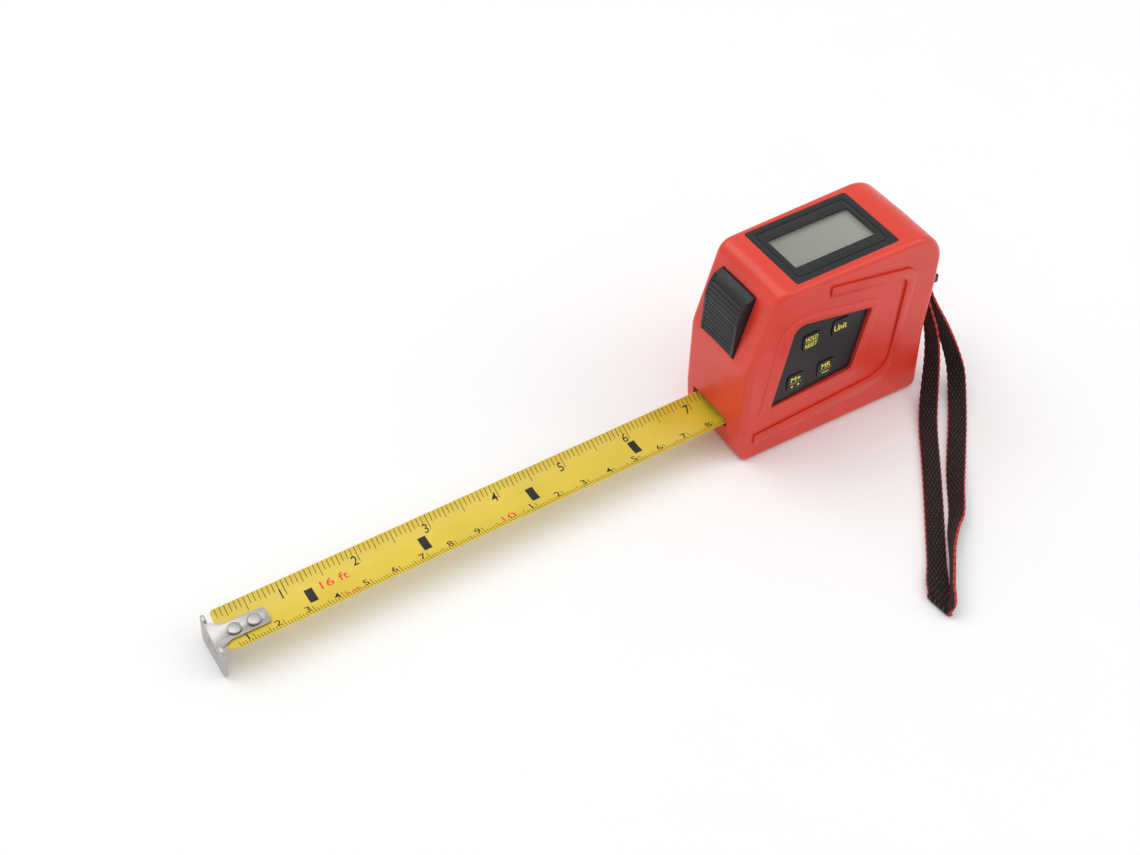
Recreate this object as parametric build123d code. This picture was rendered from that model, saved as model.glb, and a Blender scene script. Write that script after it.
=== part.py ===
from build123d import *
from math import asin, atan, cos, degrees, pi, radians, sin, sqrt, tan
import os

# Digital tape measure. Millimetres. +Z up, origin at the centre of the case's base.
# The blade pulls out towards -X, the keypad side is -Y, and the shells meet at Y = 0.

# Case: side outline, width and walls
case_length = 77.4
case_height = 71.7
case_flare = 3.2
wall = 2.2
board_room = 10.4
base_front_inset = 1.2
front_bulge_z = 12.0
bulge_radius = 60.0
kink_z = 41.0
kink_inset = 0.5
kink_radius = 8.0
slope_angle = 17.2
top_front_radius = 6.0
top_rear_radius = 13.0
rear_shoulder_z = 50.0
rear_inset = 1.2
shoulder_radius = 20.0
rear_waist_z = 27.0
rear_waist_inset = 2.4
waist_radius = 30.0
base_corner_radius = 3.0
side_edge_radius = 2.4
notch_low_z = 15.1
notch_high_z = 17.6
notch_depth = 1.0

# Blade and the coil that it winds into
blade_width = 19.0
blade_thickness = 0.14
blade_radius = 15.0
blade_offset = 2.0
blade_z = 8.6
blade_out = 180.8
blade_full_length = 5000.0
blade_corner_cut = 2.4
winding_slack = 1.12
split_depth = 14.7
curved_inside = 6.3
flat_inside = 6.0
mouth_gap = 1.1
mouth_top_z = 13.9
mouth_side = 0.3

# Reel, spring and axle
reel_x = 4.0
drum_radius = 14.0
drum_wall = 1.2
flange_thickness = 1.0
flange_rim = 1.6
coil_gap = 0.3
axle_radius = 2.5
axle_boss_radius = 5.0
axle_boss_gap = 0.2
running_gap = 0.05
seat_gap = 0.02
clip_radius = 4.4
clip_thickness = 0.5
spring_inner_radius = 6.5
spring_margin = 0.4

# Hook and rivets
hook_width = 18.0
hook_thickness = 1.0
hook_low_z = 0.4
hook_high_z = 12.4
hook_ahead = 2.0
hook_corner_radius = 2.0
tongue_wide = 11.4
tongue_narrow = 6.6
tongue_taper = 4.2
tongue_length = 17.6
tongue_thickness = 0.8
tongue_corner_radius = 1.4
nest_gap = 0.05
nail_slot_length = 8.0
nail_slot_height = 1.6
nail_slot_z = 5.2
rivet_first = 6.4
rivet_pitch = 6.6
rivet_shank_radius = 1.3
rivet_hole_gap = 0.1
rivet_head_radius = 2.2
rivet_head_height = 0.8
rivet_tail_height = 0.5
rivet_tail_radius = 1.8

# Display in the top
bezel_length = 41.2
bezel_width = 29.0
bezel_x = -0.5
bezel_lip = 1.2
bezel_step = 2.0
bezel_depth = 3.4
bezel_corner_radius = 1.2
leg_radius = 1.1
leg_inset = 3.4
window_length = 32.3
window_width = 15.4
window_recess = 0.5
window_thickness = 1.0
window_ledge = 0.8
glass_thickness = 2.2
strip_height = 2.0
strip_width = 1.4
board_thickness = 1.0
display_board_margin = 1.2
fit_gap = 0.1

# Keypad in the near side
panel_face_depth = 0.6
panel_flange = 1.3
panel_flange_thickness = 1.0
panel_corner_radius = 4.0
key_size = 6.6
key_corner_radius = 1.2
key_proud = 0.4
key_gap = 0.15
key_skirt = 0.7
key_skirt_thickness = 0.6
key_travel = 0.3
press_gap = 0.05
switch_size = 5.2
switch_height = 1.6
plunger_radius = 1.6
plunger_height = 0.4
keys = {"hold": (-14.0, 45.6), "unit": (-2.2, 46.5), "store": (-18.6, 29.6), "recall": (-6.1, 29.7)}
board_low = (-28.0, 18.0)
board_high = (15.0, 60.4)
board_post_radius = 1.3
board_posts = [(13.0, 50.0), (13.0, 27.5), (-14.0, 58.8), (-12.0, 19.8)]
chip_size = 7.0
chip_height = 1.0
chip_place = (4.0, 38.0)
link_width = 8.0
link_thickness = 0.15
link_lap = 3.0

# Thumb lock on the sloping front
lever_width = 18.0
lever_length = 24.2
lever_start = 0.8
lever_travel = 4.5
lever_height = 3.9
lever_bulge_at = 0.68
lever_top_height = 3.3
lever_top_lean = 1.6
lever_gap = 0.2
lever_recess = 1.2
lever_float = 0.3
stem_width = 7.0
stem_length = 7.0
stem_lead = 5.1
arm_width = 10.0
arm_thickness = 2.0
arm_clearance = 0.6
arm_x = -34.2
arm_drop = 2.0
pad_x = -21.4
pad_length = 3.4
pad_width = 9.0
pad_radius = 12.0
pad_top_z = 13.0
pad_gap = 0.1

# Length encoder under the blade
encoder_x = -20.0
encoder_wheel_radius = 2.9
encoder_tyre = 0.7
encoder_wheel_width = 5.0
encoder_wheel_gap = 0.1
encoder_shaft_radius = 0.8
encoder_disc_radius = 2.6
encoder_disc_thickness = 0.4
encoder_disc_offset = 4.2
cheek_offset = 6.4
cheek_thickness = 1.0
cheek_reach = 2.6
cheek_height = 5.2
sensor_length = 5.0
sensor_gap = 0.4
sensor_wall = 0.9
sensor_height = 4.6

# Cells, their cap and the screws
cell_radius = 5.8
cell_thickness = 5.4
cell_count = 2
cell_rear_margin = 4.9
cell_top_margin = 9.4
cell_wall = 1.0
contact_thickness = 0.3
contact_radius = 4.0
cap_lap = 1.6
cap_thickness = 1.6
cap_sink = 0.3
coin_slot_length = 9.0
coin_slot_width = 1.6
coin_slot_depth = 0.8
screw_places = [(-32.0, 5.2), (30.5, 8.0), (31.5, 40.0), (-26.8, 63.2)]
screw_radius = 1.1
screw_head_radius = 2.2
screw_head_height = 1.4
screw_sink = 0.4
screw_slot = 0.6
boss_radius = 2.8
boss_root = 0.5

# Wrist strap, a plain tube where its centre runs, and its lug on the rear
strap_radius = 0.65
lug_y = -8.0
lug_z = 44.6
lug_width = 12.0
lug_height = 3.0
lug_reach = 4.8
lug_depth = 3.0
lug_slot_length = 9.4
lug_slot_width = 3.2
lug_bar = 1.0
strap_spacing = 1.4

# Worked out from the sizes above
half_length = case_length / 2
cavity_width = blade_width + board_room
case_front_width = cavity_width + 2 * wall
case_rear_width = case_front_width + case_flare
mouth_width = blade_width + 2 * mouth_side
cell_x = half_length - cell_radius - cell_rear_margin
cell_z = case_height - cell_radius - cell_top_margin
cap_radius = cell_radius + cap_lap
cavity_half = cavity_width / 2
coil_length = blade_full_length - blade_out
coil_radius = sqrt(drum_radius**2 + coil_length * blade_thickness * winding_slack / pi)
reel_z = blade_z + blade_thickness + coil_gap + coil_radius
flange_radius = coil_radius + flange_rim
blade_half_angle = blade_width / blade_radius / 2
blade_top = blade_radius - blade_thickness
mouth_x = -half_length
blade_end_x = mouth_x - blade_out
hook_face_x = blade_end_x - hook_ahead
split_x = mouth_x + split_depth
curve_end_x = split_x + curved_inside
coil_low_y = blade_offset - blade_width / 2 - coil_gap
coil_high_y = blade_offset + blade_width / 2 + coil_gap
slope_x = sin(radians(slope_angle))
slope_z = cos(radians(slope_angle))
kink_x = kink_inset - half_length
rear_x = half_length - rear_inset
panel_back_y = panel_flange_thickness - cavity_half
switch_front_y = panel_back_y + key_skirt_thickness + key_travel + press_gap + plunger_height
board_y = switch_front_y + switch_height
glass_top_z = case_height - window_recess - window_thickness
glass_low_z = glass_top_z - glass_thickness
display_board_z = glass_low_z - strip_height
encoder_z = blade_z - encoder_wheel_gap - encoder_wheel_radius
lug_x = rear_x + lug_reach - lug_slot_width / 2 - lug_bar


def profile_corners():
    """The case's side outline: corners as (x, z) with their radii, clockwise from the base's front."""
    top_front_x = kink_x + (case_height - kink_z) * tan(radians(slope_angle))
    return [
        ((base_front_inset - half_length, 0), base_corner_radius),
        ((-half_length, front_bulge_z), bulge_radius),
        ((kink_x, kink_z), kink_radius),
        ((top_front_x, case_height), top_front_radius),
        ((rear_x, case_height), top_rear_radius),
        ((rear_x, rear_shoulder_z), shoulder_radius),
        ((half_length - rear_waist_inset, rear_waist_z), waist_radius),
        ((half_length - rear_waist_inset / 2, 0), base_corner_radius),
    ]


def outline(corners):
    """A face with rounded corners, from points with their radii."""
    points = [point for point, radius in corners]
    rounding = [radius for point, radius in corners]
    return make_face(FilletPolyline(*points, radius=rounding, close=True))


def profile_face(inset=0.0):
    """The side outline in the XZ plane, moved in by inset."""
    face = outline(profile_corners())
    return offset(face, -inset) if inset else face


def upright(face, low_y, high_y):
    """A face drawn as (x, z), stood up and given the depth low_y to high_y."""
    solid = extrude(Plane.XZ * face, amount=high_y - low_y)
    return Pos(0, high_y, 0) * solid


def box(x0, x1, y0, y1, z0, z1):
    """A box from its six faces."""
    return Pos((x0 + x1) / 2, (y0 + y1) / 2, (z0 + z1) / 2) * Box(x1 - x0, y1 - y0, z1 - z0)


def rod(x, z, radius, y0, y1):
    """A cylinder along Y."""
    return Pos(x, (y0 + y1) / 2, z) * Rot(90, 0, 0) * Cylinder(radius, y1 - y0)


def ring(x, z, outer, inner, y0, y1):
    """A tube along Y."""
    return rod(x, z, outer, y0, y1) - rod(x, z, inner, y0 - 1, y1 + 1)


def on_slope(s, n=0.0):
    """The point (x, z) that is s up the sloping front from the kink and n out of it."""
    return (kink_x + s * slope_x - n * slope_z, kink_z + s * slope_z + n * slope_x)


def slope_block(s0, s1, n0, n1, y0, y1):
    """A block that lies along the sloping front."""
    points = [on_slope(s0, n0), on_slope(s1, n0), on_slope(s1, n1), on_slope(s0, n1)]
    return upright(make_face(Polyline(*points, close=True)), y0, y1)


def near_half():
    """The near half of the closed outer form: a block with a soft side edge, turned to flare to the rear."""
    front = case_front_width / 2
    flare = degrees(atan((case_rear_width / 2 - front) / case_length))
    body = upright(profile_face(), -front, front)
    side = body.faces().sort_by(Axis.Y)[0]
    body = fillet(side.edges(), side_edge_radius)
    hinge_line = Pos(-half_length, 0, 0)
    body = hinge_line * Rot(0, 0, -flare) * hinge_line.inverse() * body
    body &= box(-case_length, case_length, -case_rear_width, 0, -1, case_height + 1)
    notch_x = half_length - rear_waist_inset - notch_depth
    return body - box(notch_x, half_length + 1, -case_rear_width, 0, notch_low_z, notch_high_z)


def panel_corners():
    """The keypad opening's corners, as (x, z) with their radii, clockwise from the low front one."""
    soft = panel_corner_radius
    return [((-28.2, 22.2), 0.6), ((-21.4, 56.2), soft), ((9.6, 50.2), 0.8), ((4.6, 24.4), soft / 2)]


def panel_face(grow=0.0):
    """The keypad opening's outline, moved out by grow."""
    face = outline(panel_corners())
    return offset(face, grow) if grow else face


def side_y(x):
    """Half of the case's width at x."""
    front = case_front_width / 2
    return front + (x + half_length) / case_length * (case_rear_width / 2 - front)


panel_y = panel_face_depth - side_y(panel_corners()[0][0][0])


def top_block(inset, low_z, high_z, grow=0.0):
    """A block of the bezel's outline, inset from it, with its corners rounded."""
    length = bezel_length - 2 * inset + 2 * grow
    width = bezel_width - 2 * inset + 2 * grow
    face = RectangleRounded(length, width, bezel_corner_radius)
    return extrude(Pos(bezel_x, 0, low_z) * face, amount=high_z - low_z)


def top_opening():
    """The stepped hole in the top that takes the display bezel."""
    upper = top_block(0, case_height - bezel_lip, case_height + 1, fit_gap)
    lower = top_block(bezel_step, case_height - bezel_depth, case_height + 1, fit_gap)
    return upper + lower


def lever_slot():
    """The shallow seat for the thumb lock and the narrow slot for its stem."""
    half = lever_width / 2 + lever_gap
    end = lever_start + lever_length + lever_gap
    seat = slope_block(
        lever_start - lever_gap, end, -lever_recess, wall, blade_offset - half, blade_offset + half
    )
    stem_half = stem_width / 2 + lever_gap
    first = lever_start + stem_lead - lever_gap
    last = lever_start + stem_lead + stem_length + lever_travel + lever_gap
    slot = slope_block(first, last, -2 * wall, wall, blade_offset - stem_half, blade_offset + stem_half)
    return seat + slot


def lug_block(grow=0.0):
    """The part of the strap lug that sits in the rear wall."""
    return box(
        rear_x - lug_depth - wall,
        rear_x,
        lug_y - lug_width / 2 - grow,
        lug_y + lug_width / 2 + grow,
        lug_z - lug_height / 2 - grow,
        lug_z + lug_height / 2 + grow,
    )


def mouth():
    """The blade's opening: straight above, and curved below like the blade."""
    opening = box(
        mouth_x - 1,
        mouth_x + 2 * wall,
        blade_offset - mouth_width / 2,
        blade_offset + mouth_width / 2,
        wall,
        mouth_top_z,
    )
    lip = Rot(0, 90, 0) * Cylinder(blade_radius + mouth_gap, 6 * wall)
    return opening & Pos(mouth_x, blade_offset, blade_z + blade_radius) * lip


def opened(body):
    """A half of the case, hollow, with its openings and seats."""
    body -= upright(profile_face(wall), -cavity_half, cavity_half)
    body -= mouth()
    body -= top_opening()
    body -= lever_slot()
    body -= lug_block(seat_gap)
    return body


def case_near():
    """The half with the keypad opening, the screw bosses' blind ends and the board's posts."""
    half = opened(near_half())
    half -= upright(panel_face(fit_gap), -case_rear_width, boss_root - cavity_half)
    for x, z in screw_places:
        half += rod(x, z, boss_radius, -cavity_half - boss_root, 0)
        half -= rod(x, z, screw_radius, 1 - cavity_half, 1)
    for x, z in board_posts:
        half += rod(x, z, board_post_radius, -cavity_half - boss_root, board_y)
    return half


def case_far():
    """The half with the reel's axle, the screws' heads and the cell opening."""
    half = opened(mirror(near_half(), Plane.XZ))
    clip_y = coil_low_y - flange_thickness - axle_boss_gap
    half += rod(reel_x, reel_z, axle_radius, clip_y - clip_thickness, cavity_half + boss_root)
    boss_y = coil_high_y + flange_thickness + axle_boss_gap
    half += rod(reel_x, reel_z, axle_boss_radius, boss_y, cavity_half + boss_root)
    half -= rod(cell_x, cell_z, cap_radius + running_gap, cap_low_y(), case_rear_width)
    half -= rod(cell_x, cell_z, cell_radius + cell_wall + running_gap, cavity_half - 1, case_rear_width)
    for x, z in screw_places:
        half += rod(x, z, boss_radius, 0, cavity_half + boss_root)
        half -= rod(x, z, screw_radius, -1, case_rear_width)
        half -= rod(x, z, screw_head_radius + fit_gap, screw_seat_y(x), case_rear_width)
    return half


def screw_seat_y(x):
    """Where a screw's head rests in the far half."""
    return side_y(x) - screw_head_height - screw_sink


def cap_low_y():
    """The inner face of the cell cap's rim."""
    return side_y(cell_x - cap_radius) - cap_sink - cap_thickness


def case_screw(x, z):
    """A slotted screw from the far side."""
    seat = screw_seat_y(x)
    screw = rod(x, z, screw_radius - seat_gap, 1.5 - cavity_half, seat)
    screw += rod(x, z, screw_head_radius, seat, seat + screw_head_height)
    half = screw_slot / 2
    head = screw_head_radius + 1
    slot_low = seat + screw_head_height / 2
    slot = box(x - head, x + head, slot_low, slot_low + screw_head_height, z - half, z + half)
    return screw - slot


def blade_point(radius, angle):
    """A point (y, z) at an angle round the blade's centre of curvature."""
    return (blade_offset + radius * sin(angle), blade_z + blade_radius - radius * cos(angle))


def curved_band(outer, inner, half_angle):
    """The blade's curved section, or that of a piece nested in it."""
    under = ThreePointArc(
        blade_point(outer, -half_angle), blade_point(outer, 0), blade_point(outer, half_angle)
    )
    over = ThreePointArc(
        blade_point(inner, half_angle), blade_point(inner, 0), blade_point(inner, -half_angle)
    )
    edges = [under, Line(under @ 1, over @ 0), over, Line(over @ 1, under @ 0)]
    return make_face(Curve() + edges)


def along_x(face, x0, x1):
    """A face drawn as (y, z), extruded from x0 to x1."""
    return extrude(Plane.YZ.offset(x0) * face, amount=x1 - x0)


def rivet_places():
    """The two rivets' places along the tongue."""
    return [blade_end_x + rivet_first - hook_ahead, blade_end_x + rivet_first - hook_ahead + rivet_pitch]


def blade():
    """The blade from its end to where it rests wound in, with cut corners and rivet holes."""
    strip = along_x(curved_band(blade_radius, blade_top, blade_half_angle), blade_end_x, split_x)
    half = blade_width / 2
    inner = half - blade_corner_cut
    start = blade_end_x + blade_corner_cut
    plan = Polyline(
        (blade_end_x, blade_offset - inner),
        (start, blade_offset - half),
        (split_x, blade_offset - half),
        (split_x, blade_offset + half),
        (start, blade_offset + half),
        (blade_end_x, blade_offset + inner),
        close=True,
    )
    strip &= extrude(make_face(plan), amount=2 * blade_radius, both=True)
    hole = Cylinder(rivet_shank_radius + rivet_hole_gap, blade_radius / 2)
    for x in rivet_places():
        strip -= Pos(x, blade_offset, blade_z) * hole
    return strip


def blade_inner_run():
    """The blade inside the case: curved past the encoder, then flattening towards the coil."""
    band = curved_band(blade_radius, blade_top, blade_half_angle)
    curved = along_x(band, split_x, curve_end_x)
    half = blade_width / 2
    flat = make_face(
        Polyline(
            (blade_offset - half, blade_z),
            (blade_offset + half, blade_z),
            (blade_offset + half, blade_z + blade_thickness),
            (blade_offset - half, blade_z + blade_thickness),
            close=True,
        )
    )
    flat_start_x = reel_x - flat_inside
    start = Plane.YZ.offset(curve_end_x) * band
    end = Plane.YZ.offset(flat_start_x) * flat
    return curved + loft([start, end], ruled=True) + along_x(flat, flat_start_x, reel_x)


def hook():
    """The end hook: an upright plate with two ears, and a tongue bent over the blade."""
    tongue_outer = blade_top - nest_gap
    tongue_inner = tongue_outer - tongue_thickness
    low = blade_offset - hook_width / 2
    high = blade_offset + hook_width / 2
    face = make_face(
        Polyline((low, hook_low_z), (high, hook_low_z), (high, hook_high_z), (low, hook_high_z), close=True)
    )
    face = fillet(face.vertices(), hook_corner_radius)
    plate = along_x(face, hook_face_x - hook_thickness, hook_face_x)
    half = tongue_wide / 2
    dip = Pos(hook_face_x, blade_offset, blade_z + blade_radius) * Rot(0, 90, 0) * Cylinder(tongue_inner, 4)
    dip_low = blade_offset - half
    dip &= box(hook_face_x - 2, hook_face_x + 2, dip_low, dip_low + tongue_wide, hook_low_z, hook_high_z + 1)
    plate -= dip
    reach = hook_face_x + tongue_length
    tongue = along_x(curved_band(tongue_outer, tongue_inner, asin(half / tongue_inner)), hook_face_x, reach)
    narrow = tongue_narrow / 2
    neck_x = hook_face_x + tongue_taper
    corners = [
        ((hook_face_x, blade_offset - half), 0),
        ((neck_x, blade_offset - narrow), tongue_taper / 2),
        ((reach, blade_offset - narrow), tongue_corner_radius),
        ((reach, blade_offset + narrow), tongue_corner_radius),
        ((neck_x, blade_offset + narrow), tongue_taper / 2),
        ((hook_face_x, blade_offset + half), 0),
    ]
    tongue &= extrude(outline(corners), amount=2 * blade_radius, both=True)
    body = plate + tongue
    slot = SlotOverall(nail_slot_length, nail_slot_height)
    body -= along_x(Pos(blade_offset, nail_slot_z) * slot, hook_face_x - 2, hook_face_x + 1)
    for x in rivet_places():
        body -= Pos(x, blade_offset, blade_z) * Cylinder(rivet_shank_radius + seat_gap, blade_radius / 2)
    return body


def rivet(x):
    """A rivet with a flat head over the tongue and a thin tail under the blade."""
    tongue_top = blade_z + blade_thickness + nest_gap + tongue_thickness + blade_seat_rise()
    tail_top = blade_z - nest_gap
    rising = (Align.CENTER, Align.CENTER, Align.MIN)
    falling = (Align.CENTER, Align.CENTER, Align.MAX)
    spot = Pos(x, blade_offset, tail_top)
    shank = spot * Cylinder(rivet_shank_radius, tongue_top - tail_top, align=rising)
    head = Pos(x, blade_offset, tongue_top) * Cylinder(rivet_head_radius, rivet_head_height, align=rising)
    tail = spot * Cylinder(rivet_tail_radius, rivet_tail_height, align=falling)
    return shank + head + tail


def blade_seat_rise():
    """How far the curved tongue rises under the edge of a flat rivet head."""
    inner = blade_top - nest_gap - tongue_thickness
    return inner - sqrt(inner**2 - rivet_head_radius**2)


def reel_drum():
    """The drum with its near flange, which turns on the axle."""
    bore = axle_radius + running_gap
    drum = ring(reel_x, reel_z, drum_radius, drum_radius - drum_wall, coil_low_y, coil_high_y)
    return drum + ring(reel_x, reel_z, flange_radius, bore, coil_low_y - flange_thickness, coil_low_y)


def reel_cover():
    """The reel's far flange."""
    bore = axle_radius + running_gap
    return ring(reel_x, reel_z, flange_radius, bore, coil_high_y, coil_high_y + flange_thickness)


def blade_coil():
    """The wound blade as one solid ring."""
    half = blade_width / 2
    inner = drum_radius + seat_gap
    return ring(reel_x, reel_z, coil_radius, inner, blade_offset - half, blade_offset + half)


def power_spring():
    """The wound spring inside the drum."""
    outer = drum_radius - drum_wall - seat_gap
    return ring(
        reel_x, reel_z, outer, spring_inner_radius, coil_low_y + spring_margin, coil_high_y - spring_margin
    )


def axle_clip():
    """The washer that keeps the reel on its axle."""
    high = coil_low_y - flange_thickness - axle_boss_gap
    return ring(reel_x, reel_z, clip_radius, axle_radius + seat_gap, high - clip_thickness, high)


def display_bezel():
    """The bezel: a flush lip, a body through the wall, four legs and the window's opening."""
    body = top_block(0, case_height - bezel_lip, case_height)
    body += top_block(bezel_step, case_height - bezel_depth, case_height)
    pane_length = window_length + 2 * window_ledge
    pane_width = window_width + 2 * window_ledge
    deep = case_height - bezel_depth
    body -= Pos(bezel_x, 0, case_height) * Box(window_length, window_width, 4 * window_recess)
    rebate = box(
        bezel_x - pane_length / 2 - fit_gap,
        bezel_x + pane_length / 2 + fit_gap,
        -pane_width / 2 - fit_gap,
        pane_width / 2 + fit_gap,
        deep - 1,
        case_height - window_recess,
    )
    body -= rebate
    top_of_board = display_board_z
    for sx in (-1, 1):
        for sy in (-1, 1):
            x = bezel_x + sx * (bezel_length / 2 - leg_inset)
            y = sy * (bezel_width / 2 - leg_inset)
            height = deep - top_of_board
            body += Pos(x, y, top_of_board + height / 2) * Cylinder(leg_radius, height)
    return body


def pane(low_z, high_z):
    """A flat plate that fills the bezel's rebate between two heights."""
    length = window_length + 2 * window_ledge
    width = window_width + 2 * window_ledge
    return box(bezel_x - length / 2, bezel_x + length / 2, -width / 2, width / 2, low_z, high_z)


def contact_strip(side):
    """A rubber contact strip between the display glass and its board."""
    length = window_length
    y = side * (window_width / 2)
    half = strip_width / 2
    return box(bezel_x - length / 2, bezel_x + length / 2, y - half, y + half, display_board_z, glass_low_z)


def display_board():
    """The board under the display."""
    length = bezel_length - 2 * display_board_margin - 2 * bezel_step + leg_radius
    width = bezel_width - 2 * display_board_margin - 2 * bezel_step + 2 * leg_radius
    low_z = display_board_z - board_thickness
    return box(
        bezel_x - length / 2, bezel_x + length / 2, -width / 2, width / 2, low_z, display_board_z
    )


def keypad_panel():
    """The recessed keypad panel: a face in the opening and a flange behind the wall."""
    body = upright(panel_face(), panel_y, -cavity_half)
    body += upright(panel_face(panel_flange), -cavity_half, panel_back_y)
    for x, z in keys.values():
        hole = RectangleRounded(key_size + 2 * key_gap, key_size + 2 * key_gap, key_corner_radius)
        body -= upright(Pos(x, z) * hole, panel_y - 1, panel_back_y + 1)
    return body


def key(x, z):
    """A key cap that shows through the panel, with a skirt that keeps it in."""
    cap = RectangleRounded(key_size, key_size, key_corner_radius)
    skirt_size = key_size + 2 * key_skirt
    skirt = RectangleRounded(skirt_size, skirt_size, key_corner_radius)
    body = upright(Pos(x, z) * cap, panel_y - key_proud, panel_back_y)
    return body + upright(Pos(x, z) * skirt, panel_back_y, panel_back_y + key_skirt_thickness)


def key_switch(x, z):
    """A tact switch on the main board."""
    half = switch_size / 2
    body = box(x - half, x + half, switch_front_y, board_y, z - half, z + half)
    return body + rod(x, z, plunger_radius, switch_front_y - plunger_height, switch_front_y)


def main_board():
    """The board behind the keypad."""
    return box(board_low[0], board_high[0], board_y, board_y + board_thickness, board_low[1], board_high[1])


def main_chip():
    """The controller chip on the main board."""
    x, z = chip_place
    half = chip_size / 2
    return box(x - half, x + half, board_y - chip_height, board_y, z - half, z + half)


def board_link():
    """The flat lead that joins the main board to the display board."""
    half = link_width / 2
    top = display_board_z - board_thickness
    return box(
        bezel_x - half, bezel_x + half, board_y - link_thickness, board_y, board_high[1] - link_lap, top
    )


def thumb_lock():
    """The thumb lock: a bulged wedge over its seat, and the stem through the wall."""
    first = lever_start
    last = lever_start + lever_length
    seated = last - lever_travel - lever_gap
    low = lever_float - lever_recess
    bulge = first + lever_length * lever_bulge_at
    shoulder = last - lever_top_lean
    rise = Line(on_slope(first, lever_float), on_slope(bulge - lever_height, lever_height * 0.8))
    crown = ThreePointArc(rise @ 1, on_slope(bulge, lever_height), on_slope(shoulder, lever_top_height))
    rest = Polyline(
        crown @ 1,
        on_slope(last, lever_float),
        on_slope(seated, lever_float),
        on_slope(seated, low),
        on_slope(first, low),
        rise @ 0,
    )
    half = lever_width / 2
    body = upright(make_face(Curve() + [rise, crown, rest]), blade_offset - half, blade_offset + half)
    stem_half = stem_width / 2
    stem_first = first + stem_lead
    inner = -wall - arm_clearance
    stem_low = blade_offset - stem_half
    return body + slope_block(
        stem_first, stem_first + stem_length, inner, low, stem_low, stem_low + stem_width
    )


def lock_arm():
    """The arm that carries the lock's push down and back to the brake pad, over the wound-in hook."""
    top = lever_start + stem_lead + stem_length
    outer = -wall - arm_clearance
    bend_z = kink_z - arm_drop
    points = [
        on_slope(top, outer),
        on_slope(top, outer - arm_thickness),
        (arm_x + arm_thickness, bend_z),
        (arm_x + arm_thickness, pad_top_z + arm_thickness),
        (pad_x + pad_length, pad_top_z + arm_thickness),
        (pad_x + pad_length, pad_top_z),
        (arm_x, pad_top_z),
        (arm_x, bend_z),
    ]
    half = arm_width / 2
    return upright(make_face(Polyline(*points, close=True)), blade_offset - half, blade_offset + half)


def lock_pad():
    """The rubber brake pad, curved to press into the blade."""
    low_z = blade_z + blade_thickness + pad_gap
    half = pad_width / 2
    block = box(pad_x, pad_x + pad_length, blade_offset - half, blade_offset + half, low_z, pad_top_z)
    round_form = Pos(pad_x + pad_length / 2, blade_offset, low_z + pad_radius)
    return block & (round_form * Rot(0, 90, 0) * Cylinder(pad_radius, 2 * pad_length))


def encoder_wheel():
    """The wheel that the blade turns, with its shaft and slotted disc."""
    half = encoder_wheel_width / 2
    core = encoder_wheel_radius - encoder_tyre
    reach = cheek_offset + cheek_thickness / 2
    disc_y = blade_offset - encoder_disc_offset
    body = rod(encoder_x, encoder_z, core, blade_offset - half, blade_offset + half)
    body += rod(encoder_x, encoder_z, encoder_shaft_radius, blade_offset - reach, blade_offset + reach)
    disc_half = encoder_disc_thickness / 2
    return body + rod(encoder_x, encoder_z, encoder_disc_radius, disc_y - disc_half, disc_y + disc_half)


def encoder_tyre_ring():
    """The wheel's rubber tyre."""
    half = encoder_wheel_width / 2
    core = encoder_wheel_radius - encoder_tyre + seat_gap
    return ring(encoder_x, encoder_z, encoder_wheel_radius, core, blade_offset - half, blade_offset + half)


def encoder_bracket():
    """The two cheeks that carry the wheel's shaft, joined by a bar in front."""
    reach = cheek_offset + cheek_thickness / 2
    front = encoder_x - encoder_wheel_radius - cheek_thickness
    bar_top = wall + cheek_height / 2
    body = box(front - cheek_thickness, front, blade_offset - reach, blade_offset + reach, wall, bar_top)
    for side in (-1, 1):
        low = blade_offset + side * cheek_offset - cheek_thickness / 2
        body += box(front, encoder_x + cheek_reach, low, low + cheek_thickness, wall, wall + cheek_height)
    bore = encoder_shaft_radius + running_gap
    return body - rod(encoder_x, encoder_z, bore, -cavity_half, cavity_half)


def encoder_sensor():
    """The optical sensor that straddles the disc's edge."""
    y = blade_offset - encoder_disc_offset
    half = encoder_disc_thickness / 2 + sensor_gap
    outer = half + sensor_wall
    x = encoder_x + encoder_shaft_radius + sensor_gap
    top = wall + sensor_height
    body = box(x, x + sensor_length, y - outer, y + outer, wall, top)
    return body - box(x - 1, encoder_x + encoder_disc_radius + sensor_gap, y - half, y + half, 0, top + 1)


def cell_high_y():
    """The outer face of the cell stack, under the cap's contact."""
    return cap_low_y() - cell_wall - contact_thickness


def cell(index):
    """A button cell, counted from the cap inwards."""
    high = cell_high_y() - index * cell_thickness
    return rod(cell_x, cell_z, cell_radius, high - cell_thickness, high)


def cell_contact(low):
    """A sprung contact disc."""
    return rod(cell_x, cell_z, contact_radius, low, low + contact_thickness)


def cell_holder():
    """The cup that holds the cells, from the far wall inwards."""
    base = cell_high_y() - cell_count * cell_thickness - contact_thickness
    outer = cell_radius + cell_wall
    inner = cell_radius + fit_gap
    body = rod(cell_x, cell_z, outer, base - cell_wall, cavity_half - 1)
    return body - rod(cell_x, cell_z, inner, base, case_rear_width)


def cell_cap():
    """The round cap over the cells, with a coin slot."""
    low = cap_low_y()
    body = rod(cell_x, cell_z, cap_radius, low, low + cap_thickness)
    body += rod(cell_x, cell_z, cell_radius, low - cell_wall, low)
    half = coin_slot_width / 2
    reach = coin_slot_length / 2
    face = low + cap_thickness
    return body - box(
        cell_x - reach, cell_x + reach, face - coin_slot_depth, face + 1, cell_z - half, cell_z + half
    )


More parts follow.
